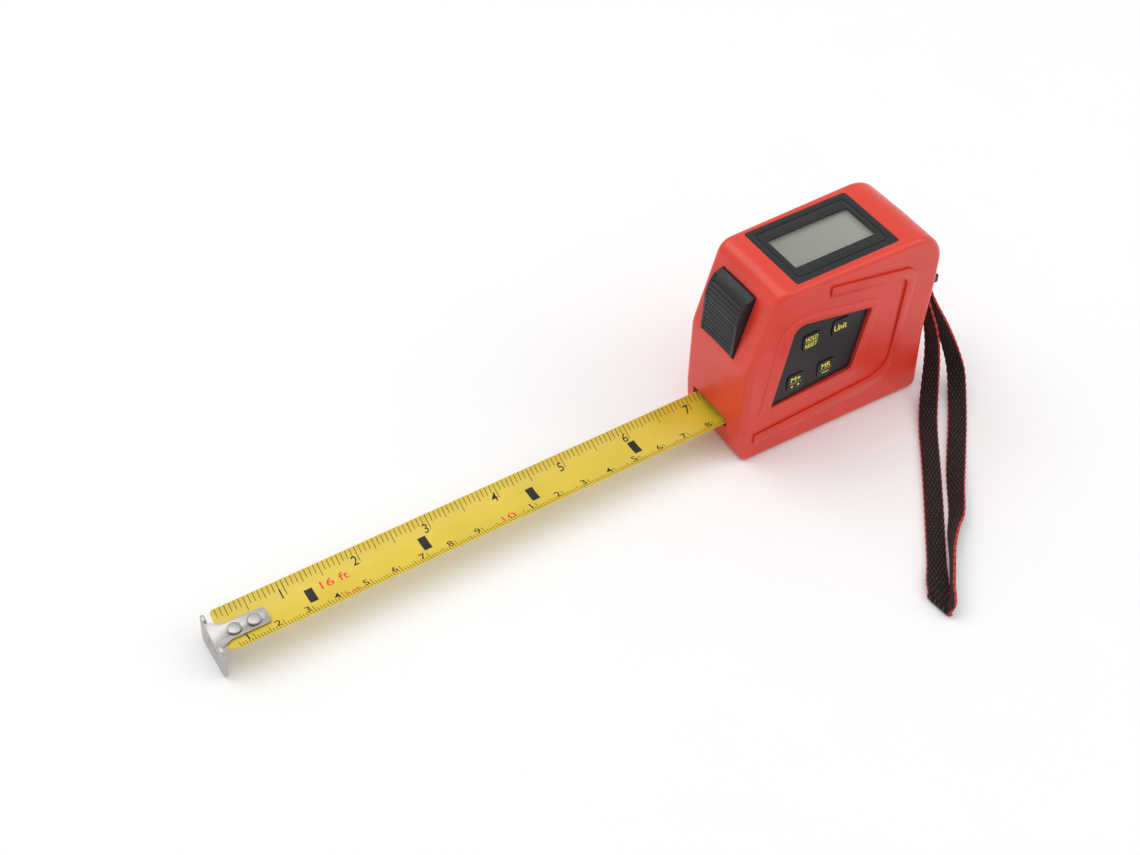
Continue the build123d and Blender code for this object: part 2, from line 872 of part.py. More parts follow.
def strap_lug():
    """The lug on the rear, with a slot that the strap passes down through."""
    tip = rear_x + lug_reach
    half = lug_width / 2
    loop = box(rear_x, tip, lug_y - half, lug_y + half, lug_z - lug_height / 2, lug_z + lug_height / 2)
    slot = Pos(lug_x, lug_y, lug_z) * Box(lug_slot_width, lug_slot_length, 2 * lug_height)
    return lug_block() + loop - slot


# The strap's bends, down one run to the fold and back up the other, as (x from the rear, y, z)
strap_bends = [
    (1.8, -9.4, 38.0),
    (2.9, -12.8, 31.0),
    (4.3, -16.6, 22.0),
    (3.5, -20.0, 12.0),
    (-1.5, -26.2, 4.0),
    (-10.1, -36.2, 0.9),
    (-21.9, -52.0, 0.8),
    (-34.5, -68.6, 0.9),
    (-46.9, -84.2, 0.8),
    (-55.1, -95.2, 0.9),
    (-60.1, -102.4, 0.9),
    (-55.9, -105.4, 1.5),
    (-49.9, -97.6, 2.6),
    (-40.9, -87.0, 2.9),
    (-27.9, -71.2, 2.6),
    (-13.1, -54.4, 1.4),
    (-0.7, -41.4, 0.9),
    (7.9, -30.6, 1.6),
    (12.3, -23.8, 6.4),
    (11.9, -20.6, 14.4),
    (9.5, -17.4, 24.0),
    (6.5, -12.8, 31.8),
    (3.7, -9.4, 38.4),
]
strap_start = (lug_x - strap_spacing / 2, lug_y, lug_z)
strap_end = (lug_x + strap_spacing / 2, lug_y, lug_z)
strap_points = [strap_start, *((rear_x + x, y, z) for x, y, z in strap_bends), strap_end]


def strap_radii():
    """Each corner's arc, as large as its two runs allow."""
    points = [Vector(point) for point in strap_points]
    radii = []
    for before, here, after in zip(points, points[1:], points[2:]):
        turn = radians((here - before).get_angle(after - here))
        shorter = min((here - before).length, (after - here).length)
        radii.append(0.45 * shorter / tan(turn / 2))
    return radii


def strap():
    """The wrist strap as a plain tube along its centre line."""
    path = FilletPolyline(*strap_points, radius=strap_radii())
    tube = sweep(Plane(origin=path @ 0, z_dir=path % 0) * Circle(strap_radius), path=path)
    expected = pi * strap_radius**2 * path.length
    print("strap length", round(path.length, 1), "radii", [round(r, 1) for r in strap_radii()])
    print("strap volume over section times length", round(tube.volume / expected, 3))
    return tube


def export(name, solid):
    """Writes one named piece."""
    solid.label = name
    export_step(solid, f"parts/{name}.step")


def main():
    os.makedirs("parts", exist_ok=True)
    export("case_near", case_near())
    export("case_far", case_far())
    for number, (x, z) in enumerate(screw_places, 1):
        export(f"case_screw_{number}", case_screw(x, z))
    export("blade", blade())
    export("blade_inner_run", blade_inner_run())
    export("hook", hook())
    for number, x in enumerate(rivet_places(), 1):
        export(f"hook_rivet_{number}", rivet(x))
    export("reel_drum", reel_drum())
    export("reel_cover", reel_cover())
    export("blade_coil", blade_coil())
    export("power_spring", power_spring())
    export("axle_clip", axle_clip())
    export("display_bezel", display_bezel())
    export("display_window", pane(glass_top_z, glass_top_z + window_thickness))
    export("display_glass", pane(glass_low_z, glass_top_z))
    export("contact_strip_near", contact_strip(-1))
    export("contact_strip_far", contact_strip(1))
    export("display_board", display_board())
    export("keypad_panel", keypad_panel())
    for name, (x, z) in keys.items():
        export(f"key_{name}", key(x, z))
        export(f"switch_{name}", key_switch(x, z))
    export("main_board", main_board())
    export("main_chip", main_chip())
    export("board_link", board_link())
    export("thumb_lock", thumb_lock())
    export("lock_arm", lock_arm())
    export("lock_pad", lock_pad())
    export("encoder_wheel", encoder_wheel())
    export("encoder_tyre", encoder_tyre_ring())
    export("encoder_bracket", encoder_bracket())
    export("encoder_sensor", encoder_sensor())
    for index in range(cell_count):
        export(f"cell_{index + 1}", cell(index))
    export("contact_outer", cell_contact(cell_high_y()))
    export("contact_inner", cell_contact(cell_high_y() - cell_count * cell_thickness - contact_thickness))
    export("cell_holder", cell_holder())
    export("cell_cap", cell_cap())
    export("strap_lug", strap_lug())
    export("strap", strap())


if __name__ == "__main__":
    main()
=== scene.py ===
"""Looks for a digital tape measure: printed blade, end hook, ribbed thumb lock, display, keypad and strap."""

import math

import bpy
import numpy as np
from bpy.props import FloatProperty, FloatVectorProperty, IntProperty, PointerProperty
from mathutils import Matrix, Vector


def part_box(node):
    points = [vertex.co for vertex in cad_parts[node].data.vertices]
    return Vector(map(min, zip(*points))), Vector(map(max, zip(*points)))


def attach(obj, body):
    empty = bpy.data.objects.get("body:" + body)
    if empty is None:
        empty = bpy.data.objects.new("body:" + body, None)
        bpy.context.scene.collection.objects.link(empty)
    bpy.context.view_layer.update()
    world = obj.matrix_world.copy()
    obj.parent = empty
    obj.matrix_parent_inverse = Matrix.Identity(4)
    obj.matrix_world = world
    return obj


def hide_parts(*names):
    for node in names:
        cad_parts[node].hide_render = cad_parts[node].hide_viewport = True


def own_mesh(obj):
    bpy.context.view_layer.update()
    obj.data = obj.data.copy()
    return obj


bl_info = {
    "name": "Digital tape measure",
    "version": (1, 0, 0),
    "blender": (4, 5, 0),
    "location": "3D View > Sidebar > Tape measure",
    "description": "Builds the printed blade, hook, thumb lock, display, keypad and strap on a packed frame",
    "category": "Object",
}

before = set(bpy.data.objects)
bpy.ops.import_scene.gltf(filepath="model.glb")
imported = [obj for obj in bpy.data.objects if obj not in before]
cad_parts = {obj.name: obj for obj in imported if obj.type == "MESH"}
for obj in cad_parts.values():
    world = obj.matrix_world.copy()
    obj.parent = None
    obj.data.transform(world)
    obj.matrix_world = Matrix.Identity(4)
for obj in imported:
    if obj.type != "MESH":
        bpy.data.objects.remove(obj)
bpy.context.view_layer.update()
MM = 0.001
INCH = 25.4


# Sizes and colours


def size(name, description, millimetres):
    """A length setting."""
    return FloatProperty(name=name, description=description, default=millimetres * MM, unit="LENGTH")


def colour(name, description, default):
    """A colour setting."""
    return FloatVectorProperty(name=name, description=description, subtype="COLOR", default=default)


class BladeSettings(bpy.types.PropertyGroup):
    """The blade and what is printed on it."""

    radius: size("Radius", "Curve across the blade", 15)
    width: size("Width", "Width along the curve", 19)
    thickness: size("Thickness", "Steel and lacquer", 0.14)
    line: size("Line", "Width of a printed line", 0.21)
    zero: size("Zero", "Place of the scales' zero", -221)
    enamel: colour("Enamel", "Lacquer", (0.72, 0.53, 0.035))
    black_ink: colour("Black ink", "Scales and numerals", (0.012, 0.012, 0.012))
    red_ink: colour("Red ink", "Tens and lengths", (0.70, 0.05, 0.02))


class CaseSettings(bpy.types.PropertyGroup):
    """The case's mouldings and its colours."""

    step: size("Step", "Height of the keypad's raised rim", 0.26)
    plastic: colour("Case", "Shells", (0.70, 0.036, 0.016))
    trim: colour("Trim", "Bezel, keypad and lock", (0.007, 0.0075, 0.0095))
    label: colour("Label", "Keypad lettering", (0.80, 0.66, 0.06))
    seam: size("Seam", "Half width of the shells' seam", 0.06)


class LockSettings(bpy.types.PropertyGroup):
    """The thumb lock's grip."""

    ribs: IntProperty(name="Ribs", description="Ribs across the grip", default=12, min=4, max=20)
    pitch: size("Pitch", "From rib to rib", 1.6)
    height: size("Height", "Height of a rib", 0.5)


class StrapSettings(bpy.types.PropertyGroup):
    """The wrist strap's webbing."""

    width: size("Width", "Webbing's width", 6.2)
    thickness: size("Thickness", "Webbing's thickness", 1.2)
    pick: size("Pick", "From one edge loop to the next", 2.8)
    length: size("Length", "Webbing's length", 295.7)
    yarn: colour("Yarn", "Main yarn", (0.011, 0.007, 0.007))
    edge: colour("Edge", "Edge yarn", (0.60, 0.045, 0.04))


# Selecting and shaping


def put_down():
    """Leaves edit mode and deselects everything."""
    if bpy.context.object and bpy.context.object.mode != "OBJECT":
        bpy.ops.object.mode_set(mode="OBJECT")
    bpy.ops.object.select_all(action="DESELECT")


def pick_up(piece):
    """Makes one object the only one selected and active."""
    put_down()
    piece.select_set(True)
    bpy.context.view_layer.objects.active = piece
    return piece


def edit(piece):
    """Opens a piece in edit mode with everything selected."""
    pick_up(piece)
    bpy.ops.object.mode_set(mode="EDIT")
    bpy.ops.mesh.select_mode(type="VERT")
    bpy.ops.mesh.select_all(action="SELECT")


def choose(piece, test):
    """In edit mode, selects the vertices whose place passes the test."""
    bpy.ops.mesh.select_mode(type="VERT")
    bpy.ops.mesh.select_all(action="DESELECT")
    bpy.ops.object.mode_set(mode="OBJECT")
    for vertex in piece.data.vertices:
        vertex.select = test(vertex.co)
    bpy.ops.object.mode_set(mode="EDIT")


def shape(piece, kind, **settings):
    """Adds a modifier and applies it."""
    pick_up(piece)
    made = piece.modifiers.new(kind.title(), kind)
    for name, value in settings.items():
        setattr(made, name, value)
    bpy.ops.object.modifier_apply(modifier=made.name)


def tidy(piece):
    """Merges doubles and turns the faces outwards."""
    edit(piece)
    bpy.ops.mesh.remove_doubles(threshold=1e-6)
    bpy.ops.mesh.normals_make_consistent(inside=False)
    put_down()


def face_out(piece):
    """Turns the faces outwards."""
    edit(piece)
    bpy.ops.mesh.normals_make_consistent(inside=False)
    put_down()


def shift(piece, way):
    """Moves a mesh within its object."""
    edit(piece)
    bpy.ops.transform.translate(value=way)
    put_down()


def soften(piece, width, segments, angle):
    """Rounds a piece's edges sharper than an angle in degrees and shades it smooth."""
    shape(
        piece,
        "BEVEL",
        width=width,
        segments=segments,
        limit_method="ANGLE",
        angle_limit=math.radians(angle),
        harden_normals=False,
        use_clamp_overlap=True,
    )
    pick_up(piece)
    bpy.ops.object.shade_smooth_by_angle(angle=math.radians(32))
    put_down()


def complete(piece, name, body, slot, material, *nodes):
    """Names a piece, gives it its finish and makes it ride on its body."""
    pick_up(piece)
    bpy.ops.object.transform_apply(location=True, rotation=True, scale=True)
    put_down()
    piece.name = name
    piece.data.name = name
    piece.data.materials.clear()
    piece.data.materials.append(material)
    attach(piece, body)
    if nodes:
        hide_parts(*nodes)
    return piece


def line_through(places):
    """A line of edges through places, left in edit mode with everything selected."""
    put_down()
    bpy.ops.mesh.primitive_plane_add(size=MM)
    piece = bpy.context.object
    edit(piece)
    bpy.ops.mesh.merge(type="CENTER")
    bpy.ops.transform.translate(value=places[0])
    for here, there in zip(places, places[1:]):
        bpy.ops.mesh.extrude_region_move(TRANSFORM_OT_translate={"value": there - here})
    bpy.ops.mesh.select_all(action="SELECT")
    return piece


def drawn(corners, depth, rounding=()):
    """A slab with corners (x, z) in mm at Y = 0, rounded by radii in mm, then pushed to depth along -Y."""
    places = [Vector((x * MM, 0, z * MM)) for x, z in corners]
    piece = line_through(places)
    bpy.ops.mesh.edge_face_add()
    for place, radius in zip(places, rounding):
        if radius:
            choose(piece, lambda co: (co - place).length < 1e-6)
            bpy.ops.mesh.bevel(offset=radius * MM, segments=6, affect="VERTICES")
    bpy.ops.mesh.select_all(action="SELECT")
    bpy.ops.mesh.extrude_region_move(TRANSFORM_OT_translate={"value": (0, -depth, 0)})
    tidy(piece)
    return piece


def lettering(words, height, place, turned=False, width=None, heavy=0.0):
    """Words made a mesh, of a given height and width, centred on a place: flat, or stood up to face -Y."""
    put_down()
    bpy.ops.object.text_add()
    piece = bpy.context.object
    piece.data.body = words
    piece.data.size = height * 1.4
    piece.data.resolution_u = 4
    piece.data.offset = heavy
    bpy.ops.object.convert(target="MESH")
    low, high = corners_of(piece)
    edit(piece)
    bpy.ops.transform.translate(value=-(low + high) / 2)
    tall = height / (high.y - low.y)
    wide = width / (high.x - low.x) if width else tall
    bpy.ops.transform.resize(value=(wide, tall, 1))
    if turned:
        bpy.ops.object.mode_set(mode="OBJECT")
        piece.rotation_euler = (math.radians(90), 0, 0)
        bpy.ops.object.transform_apply(rotation=True)
        bpy.ops.object.mode_set(mode="EDIT")
    bpy.ops.transform.translate(value=place)
    put_down()
    return piece


def corners_of(piece):
    """A mesh's lowest and highest corner."""
    places = np.array([vertex.co for vertex in piece.data.vertices])
    return Vector(places.min(0)), Vector(places.max(0))


def joined(pieces):
    """Several meshes as one."""
    put_down()
    for piece in pieces:
        piece.select_set(True)
    bpy.context.view_layer.objects.active = pieces[0]
    bpy.ops.object.join()
    return pieces[0]


def copy_of(node):
    """A merged copy of a CAD node, free to shape."""
    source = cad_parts[node]
    piece = bpy.data.objects.new(node + "_copy", source.data.copy())
    bpy.context.scene.collection.objects.link(piece)
    edit(piece)
    bpy.ops.mesh.remove_doubles(threshold=2e-6)
    bpy.ops.mesh.customdata_custom_splitnormals_clear()
    bpy.ops.mesh.dissolve_limited(angle_limit=math.radians(0.5))
    put_down()
    return piece


# Finishes


def add(tree, kind, inputs=None, **settings):
    """A node with its settings, its inputs set or linked."""
    made = tree.nodes.new("ShaderNode" + kind)
    for name, value in settings.items():
        setattr(made, name, value)
    for name, value in (inputs or {}).items():
        if isinstance(value, bpy.types.NodeSocket):
            tree.links.new(value, made.inputs[name])
        else:
            made.inputs[name].default_value = value
    return made


def maths(tree, operation, *values, clamp=False):
    """One sum on numbers or sockets."""
    return add(tree, "Math", dict(enumerate(values)), operation=operation, use_clamp=clamp).outputs[0]


def blank(name, **sockets):
    """A material with a Principled shader whose sockets are set by name."""
    made = bpy.data.materials.new(name)
    made.use_nodes = True
    tree = made.node_tree
    tree.nodes.clear()
    shader = add(tree, "BsdfPrincipled")
    out = add(tree, "OutputMaterial")
    tree.links.new(shader.outputs[0], out.inputs[0])
    for socket, value in sockets.items():
        shader.inputs[socket.replace("_", " ")].default_value = value
    return made, tree, shader


def object_place(tree):
    """Object coordinates, in metres."""
    return add(tree, "TexCoord").outputs["Object"]


def noise(tree, place, scale, detail=3.0, roughness=0.55):
    """Noise between 0 and 1."""
    inputs = {"Vector": place, "Scale": scale, "Detail": detail, "Roughness": roughness}
    return add(tree, "TexNoise", inputs).outputs[0]


def spread(tree, value, low, high, start=0.3, stop=0.7):
    """A value brought from start..stop to low..high."""
    inputs = {"Value": value, "From Min": start, "From Max": stop, "To Min": low, "To Max": high}
    return add(tree, "MapRange", inputs).outputs[0]


def tint(tree, factor, first, second):
    """A colour between two, by a factor."""
    made = add(tree, "Mix", {"Factor": factor}, data_type="RGBA", clamp_factor=True)
    for socket, value in ((6, first), (7, second)):
        if isinstance(value, bpy.types.NodeSocket):
            tree.links.new(value, made.inputs[socket])
        else:
            made.inputs[socket].default_value = value
    return made.outputs[2]


def rgba(colour, by=1.0):
    """A colour with its alpha, made lighter or darker."""
    return (min(1, colour[0] * by), min(1, colour[1] * by), min(1, colour[2] * by), 1)


def relief(tree, shader, height, strength, distance):
    """Bump from a height."""
    made = add(tree, "Bump", {"Height": height, "Strength": strength, "Distance": distance})
    tree.links.new(made.outputs[0], shader.inputs["Normal"])


def edge_mask(tree, radius, gain):
    """Near 1 on outer and inner edges, 0 on flat faces."""
    rounded = add(tree, "Bevel", {"Radius": radius}, samples=4).outputs[0]
    normal = add(tree, "NewGeometry").outputs["Normal"]
    level = add(tree, "VectorMath", {0: rounded, 1: normal}, operation="DOT_PRODUCT").outputs["Value"]
    return maths(tree, "MULTIPLY", maths(tree, "SUBTRACT", 1.0, level), gain, clamp=True)


def moulded(name, colour, rough, grain=1400, depth=0.02, spec=0.5, edge_highlight_gain=1.5, coat=0.0, seam=None):
    """Moulded plastic: fine texture, slow colour drift, handling marks, and a painted highlight that makes
    the edges paler.
    """
    made, tree, shader = blank(name, Specular_IOR_Level=spec, Coat_Weight=coat, Coat_Roughness=0.2)
    place = object_place(tree)
    drift = spread(tree, noise(tree, place, 45, 2), 0, 1)
    base = tint(tree, drift, rgba(colour, 0.93), rgba(colour, 1.06))
    fleck = spread(tree, noise(tree, place, 900, 4, 0.7), 0, 0.35, 0.55, 0.8)
    base = tint(tree, fleck, base, rgba(colour, 1.12))
    # Painted highlight: the colour is made paler along outer and inner edges, broken up by noise
    edges = edge_mask(tree, 0.35 * MM, edge_highlight_gain)
    painted_edge_highlight = maths(tree, "MULTIPLY", edges, spread(tree, noise(tree, place, 260, 5), 0.2, 0.6))
    base = tint(tree, painted_edge_highlight, base, rgba([0.75 * c + 0.25 * 0.8 for c in colour]))
    smear = noise(tree, place, 120, 5, 0.6)
    scuffs = add(tree, "Mapping", {"Vector": place, "Scale": (900, 90, 300)}).outputs[0]
    scratch = spread(tree, noise(tree, scuffs, 1.0, 3, 0.5), 0, 1, 0.66, 0.74)
    smeared = spread(tree, smear, rough - 0.05, rough + 0.07)
    roughness = maths(tree, "ADD", smeared, maths(tree, "MULTIPLY", scratch, 0.08))
    height = noise(tree, place, grain, 2, 0.5)
    if seam:
        across = maths(tree, "ABSOLUTE", add(tree, "SeparateXYZ", {"Vector": place}).outputs["Y"])
        limits = {"From Min": seam * 0.4, "From Max": seam * 1.6, "To Min": 1, "To Max": 0}
        gap = add(
            tree, "MapRange", {"Value": across, **limits}, interpolation_type="SMOOTHSTEP"
        ).outputs[0]
        base = tint(tree, maths(tree, "MULTIPLY", gap, 0.7), base, rgba(colour, 0.35))
    tree.links.new(base, shader.inputs["Base Color"])
    tree.links.new(roughness, shader.inputs["Roughness"])
    relief(tree, shader, height, 0.25, depth * MM)
    return made


def metal(name, colour, rough, brushed=(60, 1500, 1500), edge_highlight_gain=0.4):
    """Metal with a drawn grain, dull patches and a painted highlight that makes the edges brighter."""
    made, tree, shader = blank(name, Metallic=1.0)
    place = object_place(tree)
    lined = add(tree, "Mapping", {"Vector": place, "Scale": brushed}).outputs[0]
    grain = noise(tree, lined, 1.0, 3, 0.6)
    dull = noise(tree, place, 220, 4)
    base = tint(tree, spread(tree, dull, 0, 1), rgba(colour, 0.9), rgba(colour, 1.05))
    # Painted highlight: the colour is made brighter along outer and inner edges
    painted_metal_edge_highlight = edge_mask(tree, 0.25 * MM, edge_highlight_gain)
    base = tint(tree, painted_metal_edge_highlight, base, rgba(colour, 1.2))
    tree.links.new(base, shader.inputs["Base Color"])
    dulled = spread(tree, dull, rough - 0.05, rough + 0.08)
    level = maths(tree, "ADD", dulled, spread(tree, grain, -0.03, 0.05))
    tree.links.new(level, shader.inputs["Roughness"])
    relief(tree, shader, grain, 0.2, 0.01 * MM)
    return made


def lacquer(name, colour):
    """Lacquered blade steel: glossy, with rub lines along its length and duller patches."""
    made, tree, shader = blank(name, Specular_IOR_Level=0.5, Coat_Weight=0.35, Coat_Roughness=0.18)
    place = object_place(tree)
    lined = add(tree, "Mapping", {"Vector": place, "Scale": (14, 1600, 60)}).outputs[0]
    rubs = noise(tree, lined, 1.0, 4, 0.6)
    drift = noise(tree, place, 60, 3)
    base = tint(tree, spread(tree, drift, 0, 1), rgba(colour, 0.95), rgba(colour, 1.05))
    base = tint(tree, spread(tree, rubs, 0, 0.18, 0.6, 0.75), base, rgba(colour, 0.72))
    tree.links.new(base, shader.inputs["Base Color"])
    level = maths(tree, "ADD", spread(tree, drift, 0.26, 0.34), spread(tree, rubs, 0.0, 0.08))
    tree.links.new(level, shader.inputs["Roughness"])
    relief(tree, shader, rubs, 0.12, 0.01 * MM)
    return made


def ink(name, colour):
    """Printed ink, slightly uneven."""
    made, tree, shader = blank(name, Specular_IOR_Level=0.35)
    place = object_place(tree)
    grain = noise(tree, place, 2600, 3)
    base = tint(tree, spread(tree, grain, 0, 1), rgba(colour, 0.85), rgba(colour, 1.5))
    tree.links.new(base, shader.inputs["Base Color"])
    tree.links.new(spread(tree, noise(tree, place, 700, 2), 0.35, 0.5), shader.inputs["Roughness"])
    relief(tree, shader, grain, 0.1, 0.01 * MM)
    return made


def laminate(name, colour):
    """Circuit board: glass weave under a green mask, with a trace pattern."""
    made, tree, shader = blank(name, Specular_IOR_Level=0.5)
    place = object_place(tree)
    bands = {"Vector": place, "Scale": 420, "Distortion": 0.6}
    weave = add(tree, "TexWave", bands, wave_type="BANDS").outputs[1]
    tracks = add(tree, "TexBrick", {"Vector": place, "Scale": 160, "Mortar Size": 0.05}).outputs["Fac"]
    base = tint(tree, maths(tree, "MULTIPLY", weave, 0.3), rgba(colour), rgba(colour, 1.3))
    base = tint(tree, maths(tree, "MULTIPLY", tracks, 0.6), base, rgba(colour, 1.9))
    tree.links.new(base, shader.inputs["Base Color"])
    tree.links.new(spread(tree, noise(tree, place, 300), 0.3, 0.42), shader.inputs["Roughness"])
    relief(tree, shader, maths(tree, "ADD", weave, tracks), 0.15, 0.02 * MM)
    return made


def panel_glass(name):
    """The display's face: grey-green, very slightly mottled, with a painted light gradient that makes it
    paler towards one end, matt under its cover.
    """
    made, tree, shader = blank(name, Specular_IOR_Level=0.3)
    place = object_place(tree)
    across = add(tree, "SeparateXYZ", {"Vector": place})
    # Painted light: the face is made paler from one end to the other along X
    slope = spread(tree, across.outputs["X"], 0, 1, -16 * MM, 16 * MM)
    base = tint(tree, slope, (0.25, 0.255, 0.215, 1), (0.31, 0.32, 0.27, 1))
    base = tint(tree, spread(tree, noise(tree, place, 1800, 2), 0, 0.10), base, (0.21, 0.22, 0.185, 1))
    tree.links.new(base, shader.inputs["Base Color"])
    tree.links.new(spread(tree, noise(tree, place, 90), 0.3, 0.4), shader.inputs["Roughness"])
    relief(tree, shader, noise(tree, place, 2500, 2), 0.05, 0.01 * MM)
    return made


def clear_cover(name):
    """A clear acrylic pane, faintly wiped."""
    made, tree, shader = blank(name, Specular_IOR_Level=0.5, IOR=1.49)
    place = object_place(tree)
    shader.inputs["Alpha"].default_value = 0.09
    wiped = noise(tree, place, 160, 4)
    base = tint(tree, spread(tree, wiped, 0, 1), (0.75, 0.78, 0.74, 1), (0.85, 0.87, 0.84, 1))
    tree.links.new(base, shader.inputs["Base Color"])
    tree.links.new(spread(tree, wiped, 0.06, 0.14), shader.inputs["Roughness"])
    relief(tree, shader, wiped, 0.03, 0.02 * MM)
    return made


WEAVE_COLUMNS = 10.0


def webbing(name, settings):
    """Woven strap: staggered columns of picks with painted shade in their hollows and painted highlights on
    their crowns, red flecks and red edge loops, all by the ribbon's own map.
    """
    made, tree, shader = blank(name, Specular_IOR_Level=0.2, Sheen_Weight=0.08, Sheen_Roughness=0.5)
    uv = add(tree, "UVMap", uv_map="weave").outputs[0]
    parts = add(tree, "SeparateXYZ", {"Vector": uv})
    across, along = parts.outputs["X"], parts.outputs["Y"]
    columns = maths(tree, "MULTIPLY", across, WEAVE_COLUMNS)
    picks = maths(tree, "DIVIDE", along, settings.pick)
    stagger = maths(tree, "MULTIPLY", maths(tree, "MODULO", maths(tree, "FLOOR", columns), 2.0), 0.5)
    row = maths(tree, "FRACT", maths(tree, "ADD", picks, stagger))
    column = maths(tree, "FRACT", columns)
    rise = maths(tree, "SINE", maths(tree, "MULTIPLY", row, math.pi))
    swell = maths(tree, "SINE", maths(tree, "MULTIPLY", column, math.pi))
    lump = maths(tree, "MULTIPLY", maths(tree, "POWER", rise, 2.0), maths(tree, "POWER", swell, 0.6))
    fibre_place = add(tree, "Mapping", {"Vector": uv, "Scale": (120, 3200, 1)}).outputs[0]
    fibre = noise(tree, fibre_place, 1.0, 3, 0.6)
    yarn, edge = settings.yarn, settings.edge
    # Painted shade and highlight: the yarn's colour is darkened in the hollows between picks and lightened on
    # their crowns
    base = tint(tree, lump, rgba(yarn, 0.4), rgba(yarn, 1.5))
    base = tint(tree, spread(tree, fibre, 0, 0.4, 0.5, 0.8), base, rgba(yarn, 3.0))
    speck_place = add(tree, "Mapping", {"Vector": uv, "Scale": (6.0, 420, 1)}).outputs[0]
    uneven = spread(tree, noise(tree, speck_place, 1.0, 2), 0.15, 1.0, 0.35, 0.65)
    speck = maths(tree, "MULTIPLY", spread(tree, lump, 0, 0.62, 0.62, 0.9), uneven)
    base = tint(tree, speck, base, (0.22, 0.075, 0.07, 1))
    rim = maths(tree, "ABSOLUTE", maths(tree, "SUBTRACT", across, 0.5))
    loop = maths(tree, "SINE", maths(tree, "MULTIPLY", maths(tree, "FRACT", picks), math.pi))
    beside, outside = (maths(tree, "GREATER_THAN", rim, start) for start in (0.455, 0.496))
    on_face = maths(tree, "MULTIPLY", beside, spread(tree, loop, 0, 0.5, 0.75, 0.95))
    on_edge = maths(tree, "MULTIPLY", outside, spread(tree, loop, 0.3, 1.0, 0.1, 0.7))
    red = maths(tree, "MAXIMUM", on_face, on_edge)
    base = tint(tree, red, base, tint(tree, fibre, rgba(edge, 0.6), rgba(edge, 1.25)))
    tree.links.new(base, shader.inputs["Base Color"])
    tree.links.new(spread(tree, fibre, 0.55, 0.8), shader.inputs["Roughness"])
    height = maths(tree, "ADD", lump, maths(tree, "MULTIPLY", fibre, 0.35))
    relief(tree, shader, height, 0.9, 0.25 * MM)
    return made


def finishes():
    """Every finish by its slot, made once."""
    scene = bpy.context.scene
    case, tape = scene.tape_case, scene.tape_blade
    ending = "_finish"
    materials = bpy.data.materials
    known = {made.name.removesuffix(ending): made for made in materials if made.name.endswith(ending)}
    if "case_plastic" in known:
        return known
    drawn_along_x, drawn_along_y = (60, 1500, 1500), (1200, 60, 1200)
    key_colour = [c * 0.9 for c in case.trim]
    makers = {
        "case_plastic": (moulded, case.plastic, 0.36, 1500, 0.02, 0.5, 2.0, 0.15, case.seam),
        "case_moulding": (moulded, case.plastic, 0.36, 1500, 0.02, 0.5, 2.0, 0.15),
        "black_plastic": (moulded, case.trim, 0.42, 2200, 0.03, 0.45, 0.8),
        "key_plastic": (moulded, key_colour, 0.38, 2200, 0.02, 0.45, 1.2),
        "reel_plastic": (moulded, (0.55, 0.55, 0.53), 0.45, 900, 0.03, 0.4, 0.6),
        "chip_plastic": (moulded, (0.02, 0.02, 0.022), 0.5, 2600, 0.03, 0.4, 0.5),
        "rubber": (moulded, (0.03, 0.03, 0.03), 0.75, 1600, 0.06, 0.25, 0.4),
        "blade_enamel": (lacquer, tape.enamel),
        "black_ink": (ink, tape.black_ink),
        "red_ink": (ink, tape.red_ink),
        "label_ink": (ink, case.label),
        "steel": (metal, (0.62, 0.61, 0.59), 0.3),
        "nickel": (metal, (0.50, 0.485, 0.475), 0.40, drawn_along_x, 0.25),
        "spring_steel": (metal, (0.32, 0.34, 0.38), 0.28, drawn_along_y),
        "contact_metal": (metal, (0.72, 0.55, 0.25), 0.25),
        "cell_steel": (metal, (0.68, 0.68, 0.67), 0.2),
        "display_glass": (panel_glass,),
        "clear_pane": (clear_cover,),
        "board_laminate": (laminate, (0.02, 0.16, 0.06)),
        "strap_fabric": (webbing, scene.tape_strap),
    }
    return {slot: maker(slot + ending, *rest) for slot, (maker, *rest) in makers.items()}


# Pieces


SLOPE_ANGLE = math.radians(17.2)
SLOPE_X, SLOPE_Z = -38.2, 41.0
CASE_LENGTH = 77.4
NEAR_FACE_FRONT, NEAR_FACE_REAR = 16.9, 18.5


def slope_point(s, n):
    """A point on the case's sloping front, s up it and n out from it in mm, as (x, z)."""
    sine, cosine = math.sin(SLOPE_ANGLE), math.cos(SLOPE_ANGLE)
    return (SLOPE_X + s * sine - n * cosine, SLOPE_Z + s * cosine + n * sine)


def on_near_face(piece):
    """Moves a slab drawn on Y = 0 to the case's near face, which flares to the rear."""
    flare = math.atan((NEAR_FACE_REAR - NEAR_FACE_FRONT) / CASE_LENGTH)
    pivot = Vector((-CASE_LENGTH / 2 * MM, 0, 0))
    out = Vector((0, -NEAR_FACE_FRONT * MM, 0))
    turn = Matrix.Translation(pivot + out) @ Matrix.Rotation(-flare, 4, "Z")
    piece.matrix_world = turn @ Matrix.Translation(-pivot)
    pick_up(piece)
    bpy.ops.object.transform_apply(location=True, rotation=True, scale=True)
    put_down()


